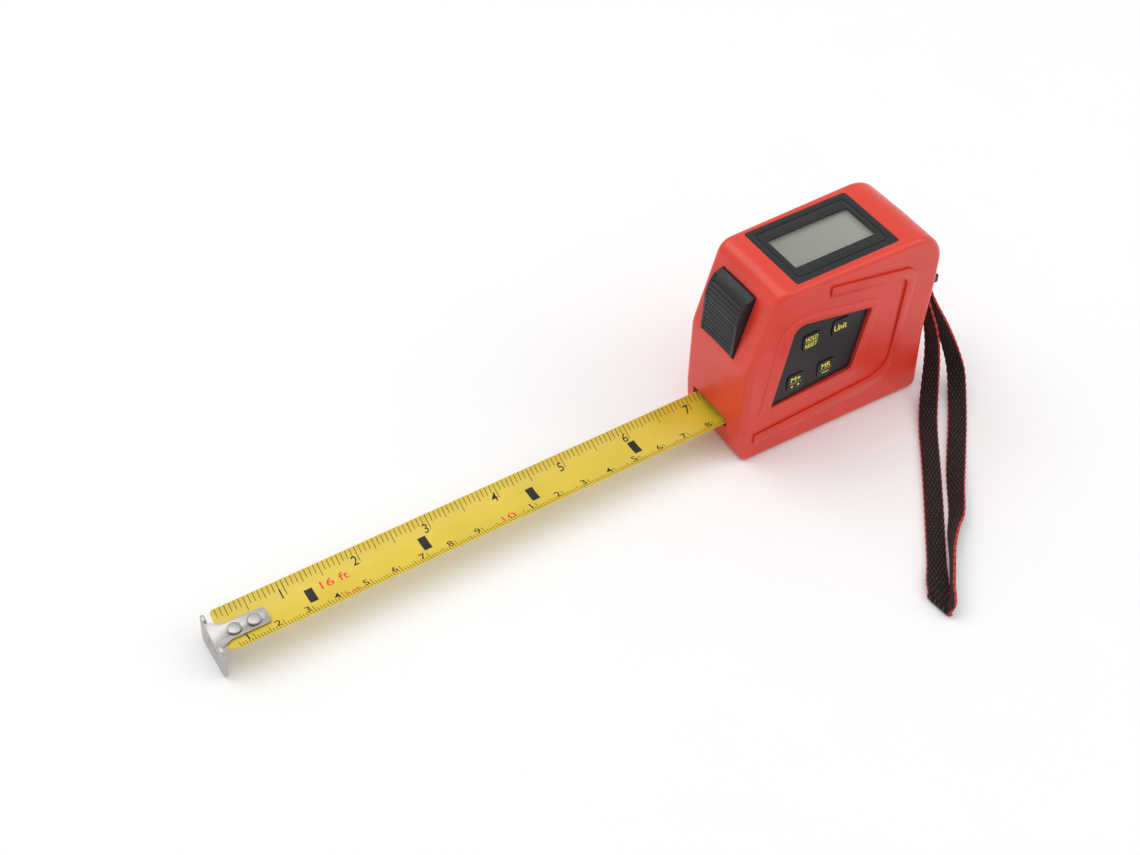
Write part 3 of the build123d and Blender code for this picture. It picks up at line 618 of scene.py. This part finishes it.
class TAPE_OT_stage(bpy.types.Operator):
    """Adds the camera, the floor and the lights."""

    bl_idname = "tape.stage"
    bl_label = "Stage"

    def execute(self, context):
        bpy.ops.object.camera_add(location=(-0.29094, -0.31633, 0.42541))
        camera = context.object
        camera.name = "camera"
        azimuth, elevation = math.radians(-31.63), math.radians(46.42)
        flat = math.cos(elevation)
        back = Vector((math.sin(azimuth) * flat, -math.cos(azimuth) * flat, math.sin(elevation)))
        camera.rotation_mode = "QUATERNION"
        camera.rotation_quaternion = (-back).to_track_quat("-Z", "Y")
        camera.data.sensor_width = 36
        camera.data.lens = 53.37
        camera.data.clip_start = 0.01
        camera.data.clip_end = 20
        context.scene.camera = camera
        put_down()
        bpy.ops.mesh.primitive_plane_add(size=6, location=(0, 0, 0))
        floor = context.object
        floor.name = "floor"
        made, tree, shader = blank("floor_finish", Specular_IOR_Level=0.2, Roughness=0.8)
        grain = noise(tree, object_place(tree), 30, 4)
        shade = tint(tree, spread(tree, grain, 0, 1), (0.925, 0.925, 0.925, 1), (0.935, 0.935, 0.935, 1))
        tree.links.new(shade, shader.inputs["Base Color"])
        floor.data.materials.append(made)
        world = bpy.data.worlds.new("studio")
        context.scene.world = world
        world.use_nodes = True
        background = world.node_tree.nodes["Background"]
        background.inputs["Color"].default_value = (1.0, 1.0, 1.0, 1)
        background.inputs["Strength"].default_value = 0.68
        middle = Vector((-0.08, 0.0, 0.03))
        lamps = [
            ("key_light", (-0.45, 0.55, 1.0), 0.8, 3.5),
            ("fill_light", (0.85, -0.65, 0.8), 0.8, 3.3),
            ("top_light", (-0.05, -0.05, 1.2), 0.9, 2.6),
        ]
        for name, place, size, power in lamps:
            put_down()
            bpy.ops.object.light_add(type="AREA", location=place)
            lamp = context.object
            lamp.name = name
            lamp.data.shape = "SQUARE"
            lamp.data.size = size
            lamp.data.energy = power
            lamp.rotation_mode = "QUATERNION"
            lamp.rotation_quaternion = (middle - Vector(place)).to_track_quat("-Z", "Y")
        context.scene.view_settings.view_transform = "Standard"
        return {"FINISHED"}


# Each route point in mm, with the way the webbing's width lies there. A way longer than 1 is a slanting fold,
# where the webbing is that much wider.
STRAP_ROUTE = [
    ((39.0, -8.0, 44.6), (0.0, 1.0, 0.0)),
    ((39.3, -9.4, 38.0), (0.0, 1.0, -0.2)),
    ((40.4, -12.8, 31.0), (-0.1, 0.9, -0.4)),
    ((41.8, -16.6, 22.0), (-0.25, 0.9, -0.4)),
    ((41.0, -20.0, 12.0), (-0.5, 0.8, -0.3)),
    ((36.0, -26.2, 4.0), (-0.75, 0.65, -0.1)),
    ((27.4, -36.2, 0.8), (-0.8, 0.6, 0.0)),
    ((15.6, -52.4, 0.8), (-0.8, 0.6, 0.0)),
    ((3.0, -68.8, 0.8), (-0.8, 0.6, 0.0)),
    ((-8.4, -83.4, 1.0), (-0.78, 0.62, 0.0)),
    ((-15.0, -91.6, 1.8), (-0.5, 1.08, 0.0)),
    ((-20.9, -99.2, 2.1), (-0.13, 1.5, 0.0)),
    ((-21.0, -99.3, 0.6), (-0.13, 1.5, 0.0)),
    ((-19.6, -102.0, 1.4), (0.06, 0.9, -0.5)),
    ((-17.0, -101.1, 2.6), (0.16, 0.4, -0.85)),
    ((-14.6, -98.2, 3.2), (0.0, 0.0, -1.0)),
    ((-11.0, -94.1, 3.2), (0.0, 0.0, -1.0)),
    ((-3.4, -85.0, 3.2), (-0.05, 0.05, -1.0)),
    ((2.4, -78.8, 3.1), (-0.3, 0.25, -0.92)),
    ((7.9, -74.4, 2.6), (-0.54, 0.45, -0.71)),
    ((17.1, -62.7, 2.3), (-0.6, 0.5, -0.62)),
    ((27.9, -50.8, 1.1), (-0.76, 0.62, -0.2)),
    ((37.4, -40.4, 0.8), (-0.76, 0.65, 0.0)),
    ((45.4, -30.6, 1.6), (-0.78, 0.6, -0.05)),
    ((49.8, -23.8, 6.4), (-0.75, 0.62, -0.2)),
    ((48.6, -20.1, 14.4), (-0.5, 0.8, -0.3)),
    ((45.8, -16.7, 24.0), (-0.3, 0.85, -0.4)),
    ((43.2, -12.4, 31.8), (-0.1, 0.9, -0.4)),
    ((41.2, -9.4, 38.4), (0.0, 1.0, -0.2)),
    ((40.4, -8.0, 44.6), (0.0, 1.0, 0.0)),
]


def strap_line():
    """Points along the strap's smooth centre line, with the width's way at each."""
    curve = bpy.data.curves.new("strap_line", "CURVE")
    curve.dimensions = "3D"
    curve.resolution_u = 24
    spline = curve.splines.new("NURBS")
    spline.points.add(len(STRAP_ROUTE) - 1)
    for point, (place, across) in zip(spline.points, STRAP_ROUTE):
        point.co = (*(Vector(place) * MM), 1)
    spline.order_u = 3
    spline.use_endpoint_u = True
    holder = bpy.data.objects.new("strap_line", curve)
    bpy.context.scene.collection.objects.link(holder)
    mesh = bpy.data.meshes.new_from_object(holder)
    places = np.array([vertex.co for vertex in mesh.vertices])
    bpy.data.objects.remove(holder)
    bpy.data.meshes.remove(mesh)
    last = len(STRAP_ROUTE) - 1
    share = np.clip(np.linspace(-0.5, last + 0.5, len(places)), 0, last)
    known = np.array([across for place, across in STRAP_ROUTE])
    spans = np.maximum(1, np.linalg.norm(known, axis=1))
    ways = np.column_stack([np.interp(share, range(last + 1), column) for column in (*known.T, spans)])
    return places, ways


class TAPE_OT_strap(bpy.types.Operator):
    """Adds the woven wrist strap and rounds the lug it hangs from."""

    bl_idname = "tape.strap"
    bl_label = "Wrist strap"

    def execute(self, context):
        settings = context.scene.tape_strap
        line, ways = strap_line()
        runs = np.concatenate([[0], np.cumsum(np.linalg.norm(np.diff(line, axis=0), axis=1))])
        steps_in_pick, points_across = 12, 9
        clearance, loop_height, edge_bulge = 0.15 * MM, 0.26 * MM, 0.12 * MM
        count = int(runs[-1] / (settings.pick / steps_in_pick))
        at = np.linspace(0, runs[-1], count)
        centre = np.column_stack([np.interp(at, runs, line[:, i]) for i in range(3)])
        spaced = np.column_stack([np.interp(at, runs, column) for column in ways.T])
        way, span = np.split(spaced, [3], axis=1)
        ahead = np.gradient(centre, axis=0)
        ahead /= np.linalg.norm(ahead, axis=1)[:, None]
        # The width is kept square to the line, except where a slanting fold widens it by 1.3 or more
        square = np.clip((1.3 - span) / 0.25, 0, 1)
        way -= square * (way * ahead).sum(1)[:, None] * ahead
        way *= span / np.linalg.norm(way, axis=1)[:, None]
        up = np.cross(ahead, way)
        up /= np.linalg.norm(up, axis=1)[:, None]
        half = settings.width / 2
        thick = settings.thickness / 2
        rest = half * np.abs(way[:, 2]) + thick * np.abs(up[:, 2]) + clearance
        centre[:, 2] = np.maximum(centre[:, 2], rest)
        top = [(u, 1.0) for u in np.linspace(-1, 1, points_across)]
        section = [*top, (1.0, 0.0), *((u, -v) for u, v in reversed(top)), (-1.0, 0.0)]
        wave = np.abs(np.sin(np.pi * at / settings.pick))
        rows = []
        for u, v in section:
            at_edge = abs(u) == 1
            swell = loop_height * (wave - 0.5) if at_edge else 0.0
            bulge = edge_bulge if v == 0 else 0.0
            wide = np.sign(u) * (abs(u) * half * (0.97 if v and at_edge else 1.0) + swell + bulge)
            tall = v * thick * (0.72 if at_edge else 1.0)
            rows.append(centre + way * np.broadcast_to(wide, at.shape)[:, None] + up * tall)
        ring = len(section)
        places = np.stack(rows, axis=1).reshape(-1, 3)
        faces = [
            (i * ring + j, i * ring + (j + 1) % ring, (i + 1) * ring + (j + 1) % ring, (i + 1) * ring + j)
            for i in range(count - 1)
            for j in range(ring)
        ]
        last = (count - 1) * ring
        faces.append(tuple(reversed(range(ring))))
        faces.append(tuple(range(last, last + ring)))
        mesh = bpy.data.meshes.new("strap_webbing")
        mesh.from_pydata(places.tolist(), [], faces)
        layer = mesh.uv_layers.new(name="weave")
        for face in mesh.polygons:
            for loop, index in zip(face.loop_indices, face.vertices):
                step, spot = divmod(index, ring)
                layer.data[loop].uv = ((section[spot][0] + 1) / 2, at[step])
        piece = bpy.data.objects.new("strap_webbing", mesh)
        context.scene.collection.objects.link(piece)
        face_out(piece)
        pick_up(piece)
        bpy.ops.object.shade_smooth()
        complete(piece, "strap_webbing", "case", "strap_fabric", finishes()["strap_fabric"], "strap")
        lug = copy_of("strap_lug")
        soften(lug, 0.6 * MM, 4, 40)
        complete(lug, "strap_loop", "case", "black_plastic", finishes()["black_plastic"], "strap_lug")
        return {"FINISHED"}


class TAPE_OT_blade(bpy.types.Operator):
    """Adds the curved, lacquered blade."""

    bl_idname = "tape.blade"
    bl_label = "Blade"

    def execute(self, context):
        settings = context.scene.tape_blade
        low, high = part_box("blade")
        middle = (low.y + high.y) / 2
        radius = settings.radius - settings.thickness / 2
        half = settings.width / settings.radius / 2
        centre = Vector((low.x, middle, low.z + settings.radius))
        put_down()
        bpy.ops.mesh.primitive_plane_add(
            size=MM, location=centre + Vector((0, radius * math.sin(half), -radius * math.cos(half)))
        )
        piece = context.object
        edit(piece)
        bpy.ops.mesh.merge(type="CENTER")
        bpy.ops.mesh.spin(steps=28, angle=2 * half, center=centre, axis=(1, 0, 0))
        bpy.ops.mesh.select_all(action="SELECT")
        bpy.ops.mesh.extrude_region_move(TRANSFORM_OT_translate={"value": (high.x - low.x, 0, 0)})
        reach = radius * math.sin(half)
        # Cuts across the end's corners: the edge's side, mm from the end along it, and how far the cut leans
        corner_cuts = ((1, 0.7, 1.0), (-1, 2.4, 1.0), (-1, 1.1, 2.6), (-1, 0.95, 0.4))
        for side, cut, lean in corner_cuts:
            bpy.ops.mesh.select_all(action="SELECT")
            bpy.ops.mesh.bisect(
                plane_co=(low.x + cut * MM, middle + side * reach, low.z),
                plane_no=(-1, side * lean, 0),
                clear_outer=True,
            )
        lengths = 12
        for share in range(1, lengths):
            bpy.ops.mesh.select_all(action="SELECT")
            bpy.ops.mesh.bisect(
                plane_co=(low.x + (high.x - low.x) * share / lengths, 0, 0), plane_no=(1, 0, 0)
            )
        tidy(piece)
        shape(piece, "SOLIDIFY", thickness=settings.thickness, offset=0)
        pick_up(piece)
        bpy.ops.object.shade_smooth_by_angle(angle=math.radians(30))
        complete(piece, "blade_strip", "case", "blade_enamel", finishes()["blade_enamel"], "blade")
        return {"FINISHED"}


# Print is drawn flat at this height, then dropped onto the blade
PRINT_Z = 20 * MM
PRINT_STRIP = 0.5 * MM
PRINT_PROUD = 0.014 * MM


def tick_row(first, step, count, length, edge, width, side):
    """A row of printed lines from the blade's edge inwards, one drawn and the rest copied on."""
    put_down()
    bpy.ops.mesh.primitive_plane_add(size=1)
    piece = bpy.context.object
    edit(piece)
    bpy.ops.transform.resize(value=(width, length, 1))
    bpy.ops.transform.translate(value=(first, edge - side * length / 2, PRINT_Z))
    put_down()
    shape(
        piece,
        "ARRAY",
        count=count,
        use_relative_offset=False,
        use_constant_offset=True,
        constant_offset_displace=(step, 0, 0),
    )
    return piece


def laid_on_blade(piece, name, material):
    """Cuts flat print into narrow strips, drops it onto the blade and finishes it."""
    blade = bpy.data.objects["blade_strip"]
    low, high = corners_of(blade)
    edit(piece)
    level = low.y
    while level < high.y:
        bpy.ops.mesh.select_all(action="SELECT")
        bpy.ops.mesh.bisect(plane_co=(0, level, 0), plane_no=(0, 1, 0))
        level += PRINT_STRIP
    put_down()
    shape(
        piece,
        "SHRINKWRAP",
        target=blade,
        wrap_method="PROJECT",
        use_project_z=True,
        use_negative_direction=True,
        use_positive_direction=False,
        offset=PRINT_PROUD,
    )
    face_out(piece)
    if sum(face.normal.z for face in piece.data.polygons) < 0:
        edit(piece)
        bpy.ops.mesh.flip_normals()
        put_down()
    pick_up(piece)
    bpy.ops.object.shade_smooth()
    complete(piece, name, "case", None, material)


class TAPE_OT_print(bpy.types.Operator):
    """Prints the inch and centimetre scales, their numerals and the other marks on the blade."""

    bl_idname = "tape.print"
    bl_label = "Blade print"

    def execute(self, context):
        settings = context.scene.tape_blade
        low, high = corners_of(bpy.data.objects["blade_strip"])
        margin, heavy = 0.05 * MM, 0.02 * MM
        far, near = high.y - margin, low.y + margin
        zero, line = settings.zero, settings.line
        span = high.x - zero
        # Each scale: its division, the bare length at the blade's end, the edge it starts from and its side,
        # its lines' width, and for each kind of line the divisions between two of them and its length in mm
        inches = (INCH / 16 * MM, 2.4 * MM, far, 1, line, ((1, 2.7), (4, 3.3), (8, 4.3), (16, 4.8)))
        centimetres = (MM, 4.2 * MM, near, -1, line * 0.9, ((1, 2.8), (5, 3.6), (10, 4.8)))
        black = []
        for division, bare, edge, side, width, kinds in (inches, centimetres):
            for parts, length in kinds:
                step = division * parts
                first = math.ceil(bare / step) * step
                count = int((span - first) / step) + 1
                black.append(tick_row(zero + first, step, count, length * MM, edge, width, side))
        for inch in range(1, 8):
            place = (zero + (inch * INCH - 1.6) * MM, far - 4.0 * MM, PRINT_Z)
            black.append(lettering(str(inch), 3.1 * MM, place, heavy=heavy))
        red = []
        for centimetre in range(1, 19):
            tens = centimetre == 10
            place = (zero + (centimetre * 10 - (0.0 if tens else 1.7)) * MM, near + 3.9 * MM, PRINT_Z)
            words = str(centimetre if centimetre <= 10 else centimetre - 10)
            mark = lettering(words, 3.0 * MM, place, width=(4.8 * MM if tens else None), heavy=heavy)
            (red if tens else black).append(mark)
        block_size = (2.8 * MM, 5.5 * MM, 1)
        for x in (-189.3, -149.3, -109.3, -69.3):
            put_down()
            bpy.ops.mesh.primitive_plane_add(size=1)
            block = context.object
            edit(block)
            bpy.ops.transform.resize(value=block_size)
            bpy.ops.transform.translate(value=(x * MM, (low.y + high.y) / 2, PRINT_Z))
            black.append(block)
        place = (-180.4 * MM, 3.9 * MM, PRINT_Z)
        red.append(lettering("16 ft", 2.9 * MM, place, width=9.7 * MM, heavy=heavy))
        place = (-177.8 * MM, near + 3.2 * MM, PRINT_Z)
        red.append(lettering("5 m", 2.2 * MM, place, width=5.2 * MM))
        laid_on_blade(joined(black), "blade_print_black", finishes()["black_ink"])
        laid_on_blade(joined(red), "blade_print_red", finishes()["red_ink"])
        for name in ("blade_strip", "blade_print_black", "blade_print_red"):
            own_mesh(bpy.data.objects[name])
        return {"FINISHED"}


class TAPE_OT_hook(bpy.types.Operator):
    """Leans the end hook's plate out, rounds its edges and turns its two rivets."""

    bl_idname = "tape.hook"
    bl_label = "End hook"

    def execute(self, context):
        lean = math.radians(-6)
        bend = 8.4 * MM
        piece = copy_of("hook")
        edit(piece)
        choose(piece, lambda co: co.z < bend)
        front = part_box("hook")[0].x
        bpy.ops.transform.rotate(
            value=lean, orient_axis="Y", orient_type="GLOBAL", center_override=(front, 0, bend)
        )
        put_down()
        soften(piece, 0.16 * MM, 2, 40)
        complete(piece, "hook_plate", "blade_end", "steel", finishes()["nickel"], "hook")
        for node in ("hook_rivet_1", "hook_rivet_2"):
            head = turned_rivet(node)
            complete(head, node + "_head", "blade_end", "steel", finishes()["nickel"], node)
        return {"FINISHED"}


def turned_rivet(node):
    """A rivet turned about its own axis: a flat head undercut where it meets the tongue, and a low tail."""
    low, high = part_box(node)
    middle = (low + high) / 2
    reach = (high.x - low.x) / 2
    outline = [
        (0.0, high.z),
        (0.70, high.z),
        (0.90, high.z - 0.10 * MM),
        (1.0, high.z - 0.30 * MM),
        (0.97, high.z - 0.52 * MM),
        (0.80, high.z - 0.64 * MM),
        (0.74, high.z - 0.95 * MM),
        (0.58, high.z - 1.0 * MM),
        (0.58, low.z + 0.45 * MM),
        (0.80, low.z + 0.40 * MM),
        (0.80, low.z + 0.12 * MM),
        (0.66, low.z),
        (0.0, low.z),
    ]
    piece = line_through([Vector((middle.x + share * reach, middle.y, z)) for share, z in outline])
    bpy.ops.mesh.spin(steps=48, angle=2 * math.pi, center=middle, axis=(0, 0, 1))
    tidy(piece)
    pick_up(piece)
    bpy.ops.object.shade_smooth_by_angle(angle=math.radians(40))
    put_down()
    return piece


class TAPE_OT_case_trim(bpy.types.Operator):
    """Adds the case's raised band and the keypad's raised rim."""

    bl_idname = "tape.case_trim"
    bl_label = "Case mouldings"

    def execute(self, context):
        sunk = 0.6 * MM
        depth = context.scene.tape_case.step + sunk
        # The band isn't sunk into the shell, so it stands by its whole depth
        outer = [(-9.2, 63.2), (-9.2, 67.4), (26.9, 60.9), (23.1, 18.6), (17.0, 10.6), (-34.2, 8.4)]
        inner = [(-34.2, 12.3), (15.3, 16.2), (20.6, 21.0), (22.9, 57.8)]
        band = drawn(outer + inner, depth, (0, 0, 5, 5, 5, 0, 0, 3, 3, 3))
        soften(band, 0.22 * MM, 2, 40)
        on_near_face(band)
        complete(band, "case_side_band", "case", "case_plastic", finishes()["case_moulding"])
        outer = [(-33.2, 20.0), (-27.5, 56.5), (-19.2, 59.4), (9.6, 54.6), (12.9, 50.9), (9.9, 22.1)]
        rim = drawn(outer + [(7.0, 20.0)], depth, (0.6, 4, 3, 3, 3, 2, 2))
        inner = [(-28.2, 22.2), (-21.4, 56.2), (9.6, 50.2), (4.6, 24.4)]
        through = 6 * MM
        hole = drawn(inner, through, (0.6, 4, 0.8, 2))
        shift(rim, (0, sunk, 0))
        shift(hole, (0, through / 2, 0))
        shape(rim, "BOOLEAN", object=hole, operation="DIFFERENCE", solver="EXACT")
        bpy.data.objects.remove(hole)
        soften(rim, 0.3 * MM, 3, 40)
        on_near_face(rim)
        complete(rim, "keypad_rim", "case", "case_plastic", finishes()["case_moulding"])
        return {"FINISHED"}


class TAPE_OT_display(bpy.types.Operator):
    """Adds the display's bezel with its grooved frame."""

    bl_idname = "tape.display"
    bl_label = "Display"

    def execute(self, context):
        piece = copy_of("display_bezel")
        low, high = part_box("display_bezel")
        ring, core = (self.plate(low, high, inset) for inset in (2.4, 2.7))
        shape(ring, "BOOLEAN", object=core, operation="DIFFERENCE", solver="EXACT")
        shape(piece, "BOOLEAN", object=ring, operation="DIFFERENCE", solver="EXACT")
        for tool in (ring, core):
            bpy.data.objects.remove(tool)
        soften(piece, 0.12 * MM, 2, 50)
        finish = finishes()["black_plastic"]
        complete(piece, "display_frame", "case", "black_plastic", finish, "display_bezel")
        return {"FINISHED"}

    def plate(self, low, high, inset):
        """A rounded plate over the bezel, set in from its edges by some mm and sunk by the groove's depth."""
        groove = 0.35 * MM
        left, right = low.x / MM + inset, high.x / MM - inset
        near, far = low.y / MM + inset, high.y / MM - inset
        piece = drawn([(left, near), (left, far), (right, far), (right, near)], 2 * MM, [1.5] * 4)
        edit(piece)
        bpy.ops.transform.rotate(
            value=math.pi / 2, orient_axis="X", orient_type="GLOBAL", center_override=(0, 0, 0)
        )
        bpy.ops.mesh.normals_make_consistent(inside=False)
        put_down()
        shift(piece, (0, 0, high.z - groove - corners_of(piece)[0].z))
        return piece


class TAPE_OT_labels(bpy.types.Operator):
    """Adds the keypad's lettering."""

    bl_idname = "tape.labels"
    bl_label = "Keypad labels"

    def execute(self, context):
        ink_finish = finishes()["label_ink"]
        proud = 0.012 * MM
        # Each key's lettering: the text, its height, its width and its rise from the key's middle, in mm
        rows = {
            "hold": [("HOLD", 1.9, 4.9, 1.5), ("RESET", 1.8, 4.9, -1.45)],
            "unit": [("Unit", 2.7, 5.2, 0.0)],
            "store": [("M+", 2.2, 4.0, 1.25), ("\u2022  \u2022", 0.8, 3.6, -1.9)],
            "recall": [("MR", 2.2, 3.8, 1.25), ("~", 0.7, 2.8, -1.9)],
        }
        for key, words in rows.items():
            low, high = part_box("key_" + key)
            middle = (low + high) / 2
            made = []
            for text, tall, wide, rise in words:
                place = (middle.x, low.y - proud, middle.z + rise * MM)
                made.append(lettering(text, tall * MM, place, True, wide * MM, 0.05 * MM))
            if key != "unit":
                put_down()
                bpy.ops.mesh.primitive_plane_add(size=1, rotation=(math.pi / 2, 0, 0))
                bar = context.object
                bpy.ops.object.transform_apply(rotation=True)
                edit(bar)
                bpy.ops.transform.resize(value=(5.0 * MM, 1, 0.14 * MM))
                drop = 0.05 if key == "hold" else -0.55
                bpy.ops.transform.translate(value=(middle.x, low.y - proud, middle.z + drop * MM))
                made.append(bar)
            piece = joined(made)
            complete(piece, "label_" + key, "key_" + key, None, ink_finish)
        return {"FINISHED"}


class TAPE_OT_lock(bpy.types.Operator):
    """Adds the thumb lock's ribbed grip between two smooth borders."""

    bl_idname = "tape.lock"
    bl_label = "Thumb lock"

    def execute(self, context):
        settings = context.scene.tape_lock
        low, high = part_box("thumb_lock")
        first, last = 0.8, 25.0
        seated = last - 4.7
        foot, lip = -1.05, 0.3
        height_at_top, top_at, arc_from = 3.9, 17.3, 13.4

        def crown(s):
            """The grip's height over the slope: a straight rise, then an arc up to its top."""
            rise = 0.15 + (s - first) * 0.236
            if s > arc_from:
                rise = height_at_top - 0.036 * (s - top_at) ** 2
            return min(rise, height_at_top)

        corners = [slope_point(first, foot), slope_point(first, crown(first))]
        pitch = settings.pitch / MM
        height = settings.height / MM
        s = first + 0.9
        for rib in range(settings.ribs):
            for along, out in ((0.0, 0), (0.18, 1), (0.62, 1), (0.85, 0)):
                here = s + along * pitch * 0.95
                corners.append(slope_point(here, crown(here) + out * height))
            s += pitch
        shoulder = last - 1.9
        corners += [
            slope_point(s + 0.4, crown(s + 0.4) + height),
            slope_point(shoulder, crown(shoulder) + 0.2),
            slope_point(last - 0.1, 0.9),
            slope_point(last, lip),
            slope_point(seated, lip),
            slope_point(seated, foot),
        ]
        cheek = [corners[0]]
        spans = 8
        for index in range(spans + 1):
            here = first + (shoulder - first) * index / spans
            cheek.append(slope_point(here, crown(here) + height))
        cheek += corners[-4:]
        border = 1.1 * MM
        slabs = []
        for outline, width, top in (
            (corners, high.y - low.y - 2 * border, high.y - border),
            (cheek, border, high.y),
            (cheek, border, low.y + border),
        ):
            slab = drawn(outline, width)
            shift(slab, (0, top, 0))
            slabs.append(slab)
        piece, *sides = slabs
        for side in sides:
            shape(piece, "BOOLEAN", object=side, operation="UNION", solver="EXACT")
            bpy.data.objects.remove(side)
        soften(piece, 0.14 * MM, 2, 25)
        finish = finishes()["black_plastic"]
        complete(piece, "thumb_lock_grip", "lock", "black_plastic", finish, "thumb_lock")
        return {"FINISHED"}


class TAPE_OT_finish_nodes(bpy.types.Operator):
    """Gives every CAD node that stays its finish."""

    bl_idname = "tape.finish_nodes"
    bl_label = "CAD finishes"

    def execute(self, context):
        made = finishes()
        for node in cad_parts.values():
            for slot in node.material_slots:
                name = slot.material.name.split(".")[0]
                if name in made:
                    slot.material = made[name]
        return {"FINISHED"}


class TAPE_PT_panel(bpy.types.Panel):
    """The tape measure's sizes, colours and steps."""

    bl_idname = "TAPE_PT_panel"
    bl_label = "Tape measure"
    bl_space_type = "VIEW_3D"
    bl_region_type = "UI"
    bl_category = "Tape measure"

    def draw(self, context):
        scene = context.scene
        for group in (scene.tape_case, scene.tape_blade, scene.tape_lock, scene.tape_strap):
            box = self.layout.box()
            for name in group.__annotations__:
                box.prop(group, name)
        for step in STEPS:
            self.layout.operator("tape." + step)


STEPS = ["stage", "strap", "blade", "print", "hook", "case_trim", "display", "labels", "lock", "finish_nodes"]
GROUPS = {
    "tape_blade": BladeSettings,
    "tape_case": CaseSettings,
    "tape_lock": LockSettings,
    "tape_strap": StrapSettings,
}
CLASSES = [
    *GROUPS.values(),
    TAPE_OT_stage,
    TAPE_OT_strap,
    TAPE_OT_blade,
    TAPE_OT_print,
    TAPE_OT_hook,
    TAPE_OT_case_trim,
    TAPE_OT_display,
    TAPE_OT_labels,
    TAPE_OT_lock,
    TAPE_OT_finish_nodes,
    TAPE_PT_panel,
]


def register():
    for item in CLASSES:
        bpy.utils.register_class(item)
    for name, group in GROUPS.items():
        setattr(bpy.types.Scene, name, PointerProperty(type=group))


def unregister():
    for name in GROUPS:
        delattr(bpy.types.Scene, name)
    for item in reversed(CLASSES):
        bpy.utils.unregister_class(item)


def main():
    register()
    for step in STEPS:
        getattr(bpy.ops.tape, step)()


if __name__ == "__main__":
    main()
